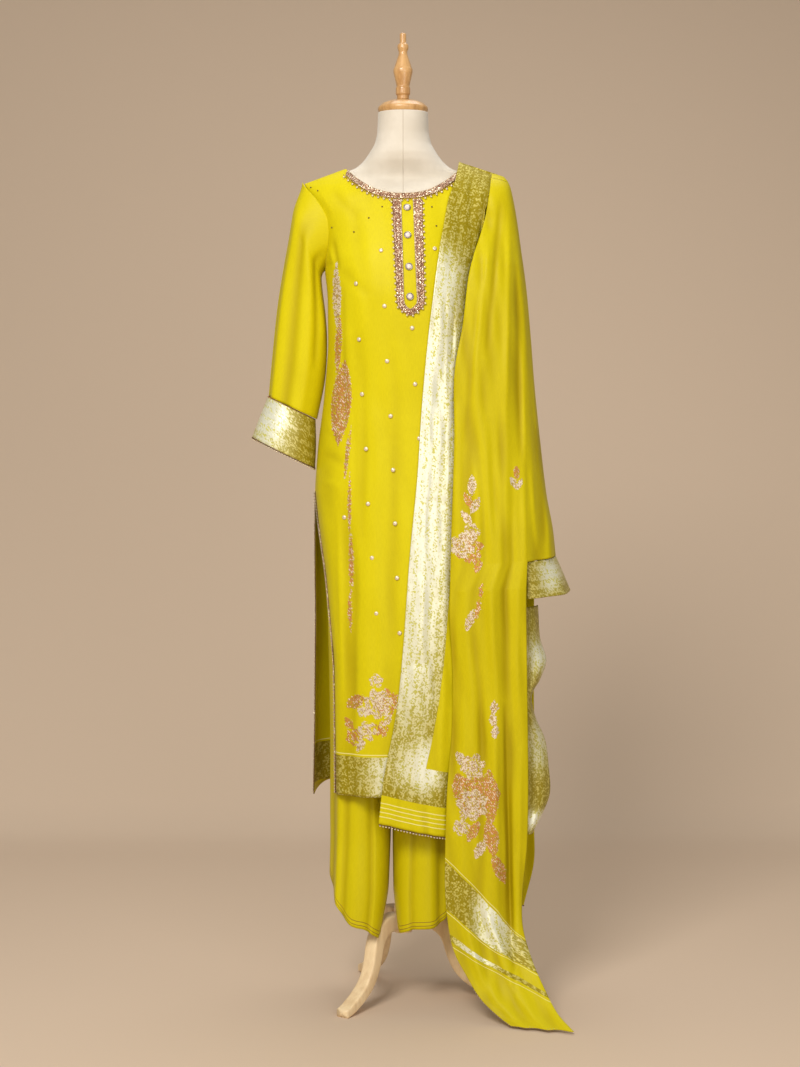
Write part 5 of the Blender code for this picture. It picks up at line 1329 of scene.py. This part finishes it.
# Beading
neck_x = np.linspace(-0.101, 0.101, 240)
for side, word in ((0, "front"), (1, "back")):
    edge = neckline_z(side, neck_x) - 0.0012
    bead_rows(f"neck_beads_{word}", side, neck_x, edge,
              ((0.0, 0.0022, 0.001, 0), (-0.0055, 0.0034, 0.0012, 1), (-0.012, 0.0036, 0.0013, 1),
               (-0.0142, 0.0108, 0.0024, 0)), (PEARL, ROSE))
u_line = smooth_rows(PLACKET, 300)
bead_rows("placket_beads_outer", 0, u_line[:, 0], u_line[:, 1],
          ((-0.0022, 0.0108, 0.0024, 0), (-0.0004, 0.0036, 0.0013, 1), (0.004, 0.0034, 0.0012, 1)),
          (PEARL, ROSE))
bead_rows("placket_beads_inner", 0, u_line[:, 2], u_line[:, 3],
          ((-0.0004, 0.0022, 0.0009, 0), (-0.0036, 0.0034, 0.0012, 1)), (PEARL, ROSE))
dots = np.array(SEQUINS)
small_stones("sequins", panel_point(0, dots[:, 0], dots[:, 1], 0.0016),
             panel_normal(0, dots[:, 0], dots[:, 1]), SEQUIN_RADIUS, PEARL, 0.4, 12, 6)
dots = np.array(DARK_BEADS)
small_stones("dark_beads", panel_point(0, dots[:, 0], dots[:, 1], 0.0014),
             panel_normal(0, dots[:, 0], dots[:, 1]), 0.0016, DARK, 0.5, 8, 4)
for word, points, column in (("front_right", front_points, 0), ("front_left", front_points, -1),
                             ("back_right", back_points, 0), ("back_left", back_points, -1)):
    line = points[:, column]
    line = line[line[:, 2] < SLIT_Z - 0.004]
    away = (math.copysign(1.0, line[0, 0]), 0, 0)
    lace(f"slit_lace_{word}", line + np.array(away) * 0.0008, away)
for number, (x, z) in enumerate(BUTTONS, start=1):
    button_stone(number, x, z, STONE, RIM)
tail = front_fall[:, 0]
tail = np.vstack((tail[tail[:, 2] < TAIL_LACE_Z], front_fall[-1, :FALL_COLUMNS]))
lace("tail_lace", np.maximum(tail + (0, 0.004, 0), (-1, -1, 0.0025)), (0, -1, 0))
lace("pleat_lace", pleat_points[-1] - (0, 0, 0.001), (0, 0, -1))
lace("back_lace", back_fall[-1, :FALL_COLUMNS] - (0, 0, 0.001), (0, 0, -1))
for node in ("neck_trim_front", "neck_trim_back", "placket_trim", "slit_trim_front_right",
             "slit_trim_front_left", "slit_trim_back_right", "slit_trim_back_left"):
    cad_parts[node].data.materials.clear()
    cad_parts[node].data.materials.append(BEADED)

# Form and stand
form_body(JERSEY)
turned("wood_cap", CAP, HONEY, "turned_wood", ("wood_cap",))
turned("wood_finial", FINIAL, HONEY, "turned_wood", ("wood_finial",), 140)
for number, bearing in enumerate(LEG_BEARINGS, start=1):
    tripod_leg(number, bearing, BIRCH)
for node, look in (("stand_pole", STEEL), ("stand_hub", BIRCH), ("waistband", KAMEEZ_PLAIN)):
    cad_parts[node].data.materials.clear()
    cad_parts[node].data.materials.append(look)


SWEEP_COLOUR = (0.64, 0.5, 0.37, 1)
AIR_COLOUR = (0.93, 0.91, 0.88, 1)
AIR_STRENGTH = 0.34
LIGHTS_AIM = (0, 0, 1.1)
# columns: name, place, size, power in watts, colour
LIGHTS = (
    ("key", (-0.9, -2.7, 2.9), 1.2, 92.0, (1.0, 0.97, 0.93)),
    ("fill", (1.2, -3.4, 1.4), 1.8, 32.0, (1.0, 0.97, 0.94)),
    ("top", (0.2, 0.6, 3.4), 1.6, 26.0, (1.0, 0.98, 0.95)),
)


def studio():
    """Make a pale floor that curves up behind, three soft lights, and the photograph's camera."""
    run = np.linspace(0, 1, 80)
    depth = np.where(run < 0.5, -4.0 + 11.0 * run, 1.5 + 1.6 * np.sin((run - 0.5) * math.pi))
    rise = np.where(run < 0.5, 0.0, 1.6 * (1 - np.cos((run - 0.5) * math.pi)) + (run - 0.5) * 4.0)
    across = np.linspace(-6, 6, 3)
    points = np.stack((across[None, :] + 0 * depth[:, None], depth[:, None] + 0 * across,
                       rise[:, None] + 0 * across), axis=-1)
    mesh = bpy.data.meshes.new("studio_sweep")
    row, column = np.mgrid[0:79, 0:2]
    corner = (row * 3 + column).ravel()
    quads = np.stack((corner, corner + 1, corner + 4, corner + 3), axis=-1)
    mesh.from_pydata(points.reshape(-1, 3).tolist(), [], quads.tolist())
    mesh.shade_smooth()
    sweep = Look("studio paper", Roughness=0.9)
    sweep.surface("Base Color", SWEEP_COLOUR)
    mesh.materials.append(sweep.material)
    floor = bpy.data.objects.new("studio_sweep", mesh)
    bpy.context.scene.collection.objects.link(floor)
    for name, place, size, power, colour in LIGHTS:
        light = bpy.data.lights.new(name, "AREA")
        light.size = size
        light.energy = power
        light.color = colour
        lamp = bpy.data.objects.new(name, light)
        lamp.location = place
        lamp.rotation_euler = (Vector(LIGHTS_AIM) - Vector(place)).to_track_quat("-Z", "Y").to_euler()
        bpy.context.scene.collection.objects.link(lamp)
    world = bpy.data.worlds.new("studio air")
    world.use_nodes = True
    world.node_tree.nodes["Background"].inputs[0].default_value = AIR_COLOUR
    world.node_tree.nodes["Background"].inputs[1].default_value = AIR_STRENGTH
    bpy.context.scene.world = world
    bpy.context.scene.view_settings.view_transform = "Standard"
    lens = bpy.data.cameras.new("view")
    lens.sensor_width = SENSOR
    lens.lens = SENSOR * EYE_DISTANCE / (IMAGE[1] * METRES_PER_PIXEL)
    lens.shift_y = (HORIZON_PIXEL - IMAGE[1] / 2) / IMAGE[1]
    camera = bpy.data.objects.new("view", lens)
    aside = (IMAGE[0] / 2 - AXIS_PIXEL) * METRES_PER_PIXEL
    camera.location = (AXIS[0] + aside, AXIS[1] - EYE_DISTANCE, EYE_HEIGHT)
    camera.rotation_euler = (math.pi / 2, 0, 0)
    bpy.context.scene.collection.objects.link(camera)
    bpy.context.scene.camera = camera


studio()
bpy.context.view_layer.update()
